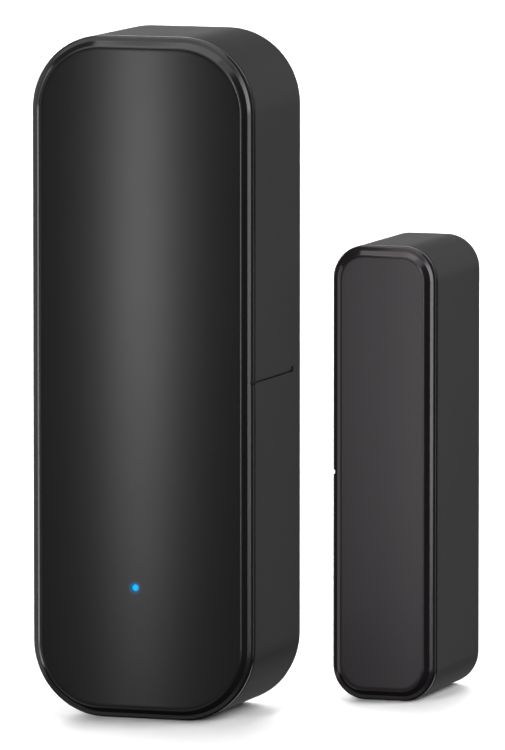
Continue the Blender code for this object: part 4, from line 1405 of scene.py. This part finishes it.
# Soft boxes: name, (yaw, elevation, distance) in degrees and metres, size, watts, lit, shading.
SOFT_BOXES = [
    ("sensor_strip_high", (-19.1, -1.9, 0.6), (0.036, 0.08), 0.048, "sensor", None),
    ("sensor_strip_low", (-19.1, -7.6, 0.6), (0.036, 0.06), 0.022, "sensor", None),
    ("magnet_strip_wide", (-17.3, -4.6, 0.6), (0.24, 0.14), 0.088, "magnet", "magnet"),
    ("magnet_strip_right", (-11.8, -4.6, 0.6), (0.10, 0.14), 0.046, "magnet", "magnet"),
    ("front_high", (0, 50, 0.8), (1.60, 1.00), 7.0, "all", None),
    ("top", (0, 89, 0.6), (0.60, 0.40), 1.3, "all", None),
    ("front_right", (14, 4, 0.6), (0.10, 0.28), 0.60, "all", None),
    ("right_front", (38, 5, 0.6), (0.20, 0.50), 0.25, "all", None),
    ("right_back_sensor", (125, 5, 0.6), (0.25, 0.50), 1.10, "sensor", "sensor"),
    ("right_back_magnet", (125, 5, 0.6), (0.25, 0.50), 1.35, "magnet", "magnet"),
    ("back_high", (180, 40, 0.8), (0.80, 0.40), 0.15, "all", None),
    ("back", (185, 8, 0.8), (0.50, 0.30), 0.35, "all", None),
    ("back_left", (212, 8, 0.8), (0.40, 0.30), 0.20, "all", None),
    ("back_low", (185, -22, 0.8), (0.50, 0.20), 0.14, "all", None),
    ("left_back_sensor", (239, 0, 0.6), (0.30, 0.50), 0.90, "sensor", None),
    ("left_back_magnet", (239, 0, 0.6), (0.30, 0.50), 0.25, "magnet", None),
    ("left_front", (-52, 0, 0.6), (0.15, 0.50), 0.30, "all", None),
    ("left_magnet", (-85, -3, 0.6), (0.50, 0.40), 0.30, "magnet", "magnet"),
    ("left_low", (-70, -45, 0.6), (0.40, 0.30), 0.20, "all", None),
    ("front_low", (-19, -38, 0.6), (0.50, 0.35), 0.18, "all", None),
]
CAMERA_YAW = 19.1
CAMERA_ELEVATION = 6.29
CAMERA_DISTANCE = 1.0523
CAMERA_LENS = 480.0
CAMERA_CLIP = (0.05, 20.0)
AIM_RIGHT = 6.409 * MM
AIM_UP = 34.10 * MM


def direction_from(yaw, elevation):
    """A direction from the object, by degrees round from the front (-Y) towards +X and up."""
    a, e = math.radians(yaw), math.radians(elevation)
    return Vector((math.sin(a) * math.cos(e), -math.cos(a) * math.cos(e), math.sin(e)))


def add_facing(name, data, away, axis="Z"):
    """Add a lamp or a camera whose axis points along a direction."""
    made = bpy.data.objects.new(name, data)
    SCENE.collection.objects.link(made)
    made.rotation_mode = "QUATERNION"
    made.rotation_quaternion = away.to_track_quat(axis, "Y")
    return made


def collection_of(name, items):
    """A collection for light linking."""
    chosen = bpy.data.collections.new(name)
    for item in items:
        chosen.objects.link(item)
    return chosen


def add_light(name, kind, energy, away, lit, **settings):
    """A lamp that the camera doesn't see, which reaches only what is in a list."""
    data = bpy.data.lights.new(name, kind)
    data.energy = energy
    for key, value in settings.items():
        setattr(data, key, value)
    lamp = add_facing(name, data, away)
    lamp.visible_camera = False
    lamp.light_linking.receiver_collection = collection_of(name + "_lit", lit)
    return lamp


def floor():
    """A plain white sheet that only the camera sees, so the black plastic stays dark below."""
    bm = bmesh.new()
    bmesh.ops.create_grid(bm, x_segments=8, y_segments=8, size=FLOOR_HALF)
    sheet = piece_from("floor", bm, SCENE.collection)
    sheet.location = (0.0, 0.0, FLOOR_Z)
    finish = Finish("floor_paper", Specular_IOR_Level=0.2)
    fibres = finish.noise(4 * MM, 3.0)
    finish.coloured(fibres, (0.86, 0.86, 0.86), (0.90, 0.90, 0.90))
    finish.rough(fibres, 0.80, 0.95)
    sheet.data.materials.append(finish.material)
    sheet.visible_glossy = False
    sheet.visible_diffuse = False
    sheet.visible_shadow = False
    return sheet


def floor_lights(sheet):
    """A narrow light overhead and low ones round it, which shadow the floor under the rims."""
    for index, (yaw, elevation, spread, strength) in enumerate(FLOOR_LIGHTS):
        away = direction_from(yaw, elevation)
        name = f"floor_light_{index}"
        add_light(name, "SUN", strength, away, [sheet], angle=math.radians(spread))


def soft_boxes():
    """Narrow strips for the panels, tall boxes for the rims and sides, and broad ones above."""
    everything = list(PIECES.objects)
    magnet = [piece for piece in everything if piece.name.startswith(("magnet", "bar"))]
    sensor = [piece for piece in everything if piece not in magnet]
    groups = {"all": everything, "magnet": magnet, "sensor": sensor}
    for name, (yaw, elevation, distance), (wide, tall), watts, lit, shading in SOFT_BOXES:
        away = direction_from(yaw, elevation)
        lamp = add_light(
            name, "AREA", watts, away, groups[lit], shape="RECTANGLE", size=wide, size_y=tall,
        )
        lamp.location = Vector((SENSOR.x, SENSOR.y, SENSOR.z)) + away * distance
        if shading:
            blockers = collection_of(name + "_blockers", groups[shading])
            lamp.light_linking.blocker_collection = blockers


def world():
    """Pale where the camera sees it; for everything else a dim room, dark below."""
    made = bpy.data.worlds.new("studio")
    made.use_nodes = True
    made.node_tree.nodes.clear()
    nodes = Nodes(made.node_tree)
    where = nodes.node("TexCoord").outputs["Generated"]
    height = nodes.node("SeparateXYZ", {"Vector": where}).outputs["Z"]
    level = nodes.spread(height, 0.0, ROOM_LIGHT, *ROOM_HEIGHTS, "LINEAR")
    room_light = nodes.node("Background", {"Color": WHITE, "Strength": level})
    backdrop = nodes.node("Background", {"Color": WHITE})
    mix = nodes.node("MixShader", {
        "Fac": nodes.node("LightPath").outputs["Is Camera Ray"],
        1: room_light.outputs["Background"],
        2: backdrop.outputs["Background"],
    })
    nodes.node("OutputWorld", {"Surface": mix.outputs["Shader"]})
    SCENE.world = made


def camera():
    """A long lens, from a little to the right of the front and a little above."""
    data = bpy.data.cameras.new("camera")
    data.lens = CAMERA_LENS
    data.clip_start, data.clip_end = CAMERA_CLIP
    back = direction_from(CAMERA_YAW, CAMERA_ELEVATION)
    right = Vector((-back.y, back.x, 0)).normalized()
    up = back.cross(right)
    target = Vector((SENSOR.x, SENSOR.y + CASE_BACK, FLOOR_Z)) + right * AIM_RIGHT + up * AIM_UP
    made = add_facing("camera", data, -back, "-Z")
    made.location = target + back * CAMERA_DISTANCE
    SCENE.camera = made


floor_lights(floor())
soft_boxes()
world()
camera()
SCENE.view_settings.view_transform = "Standard"
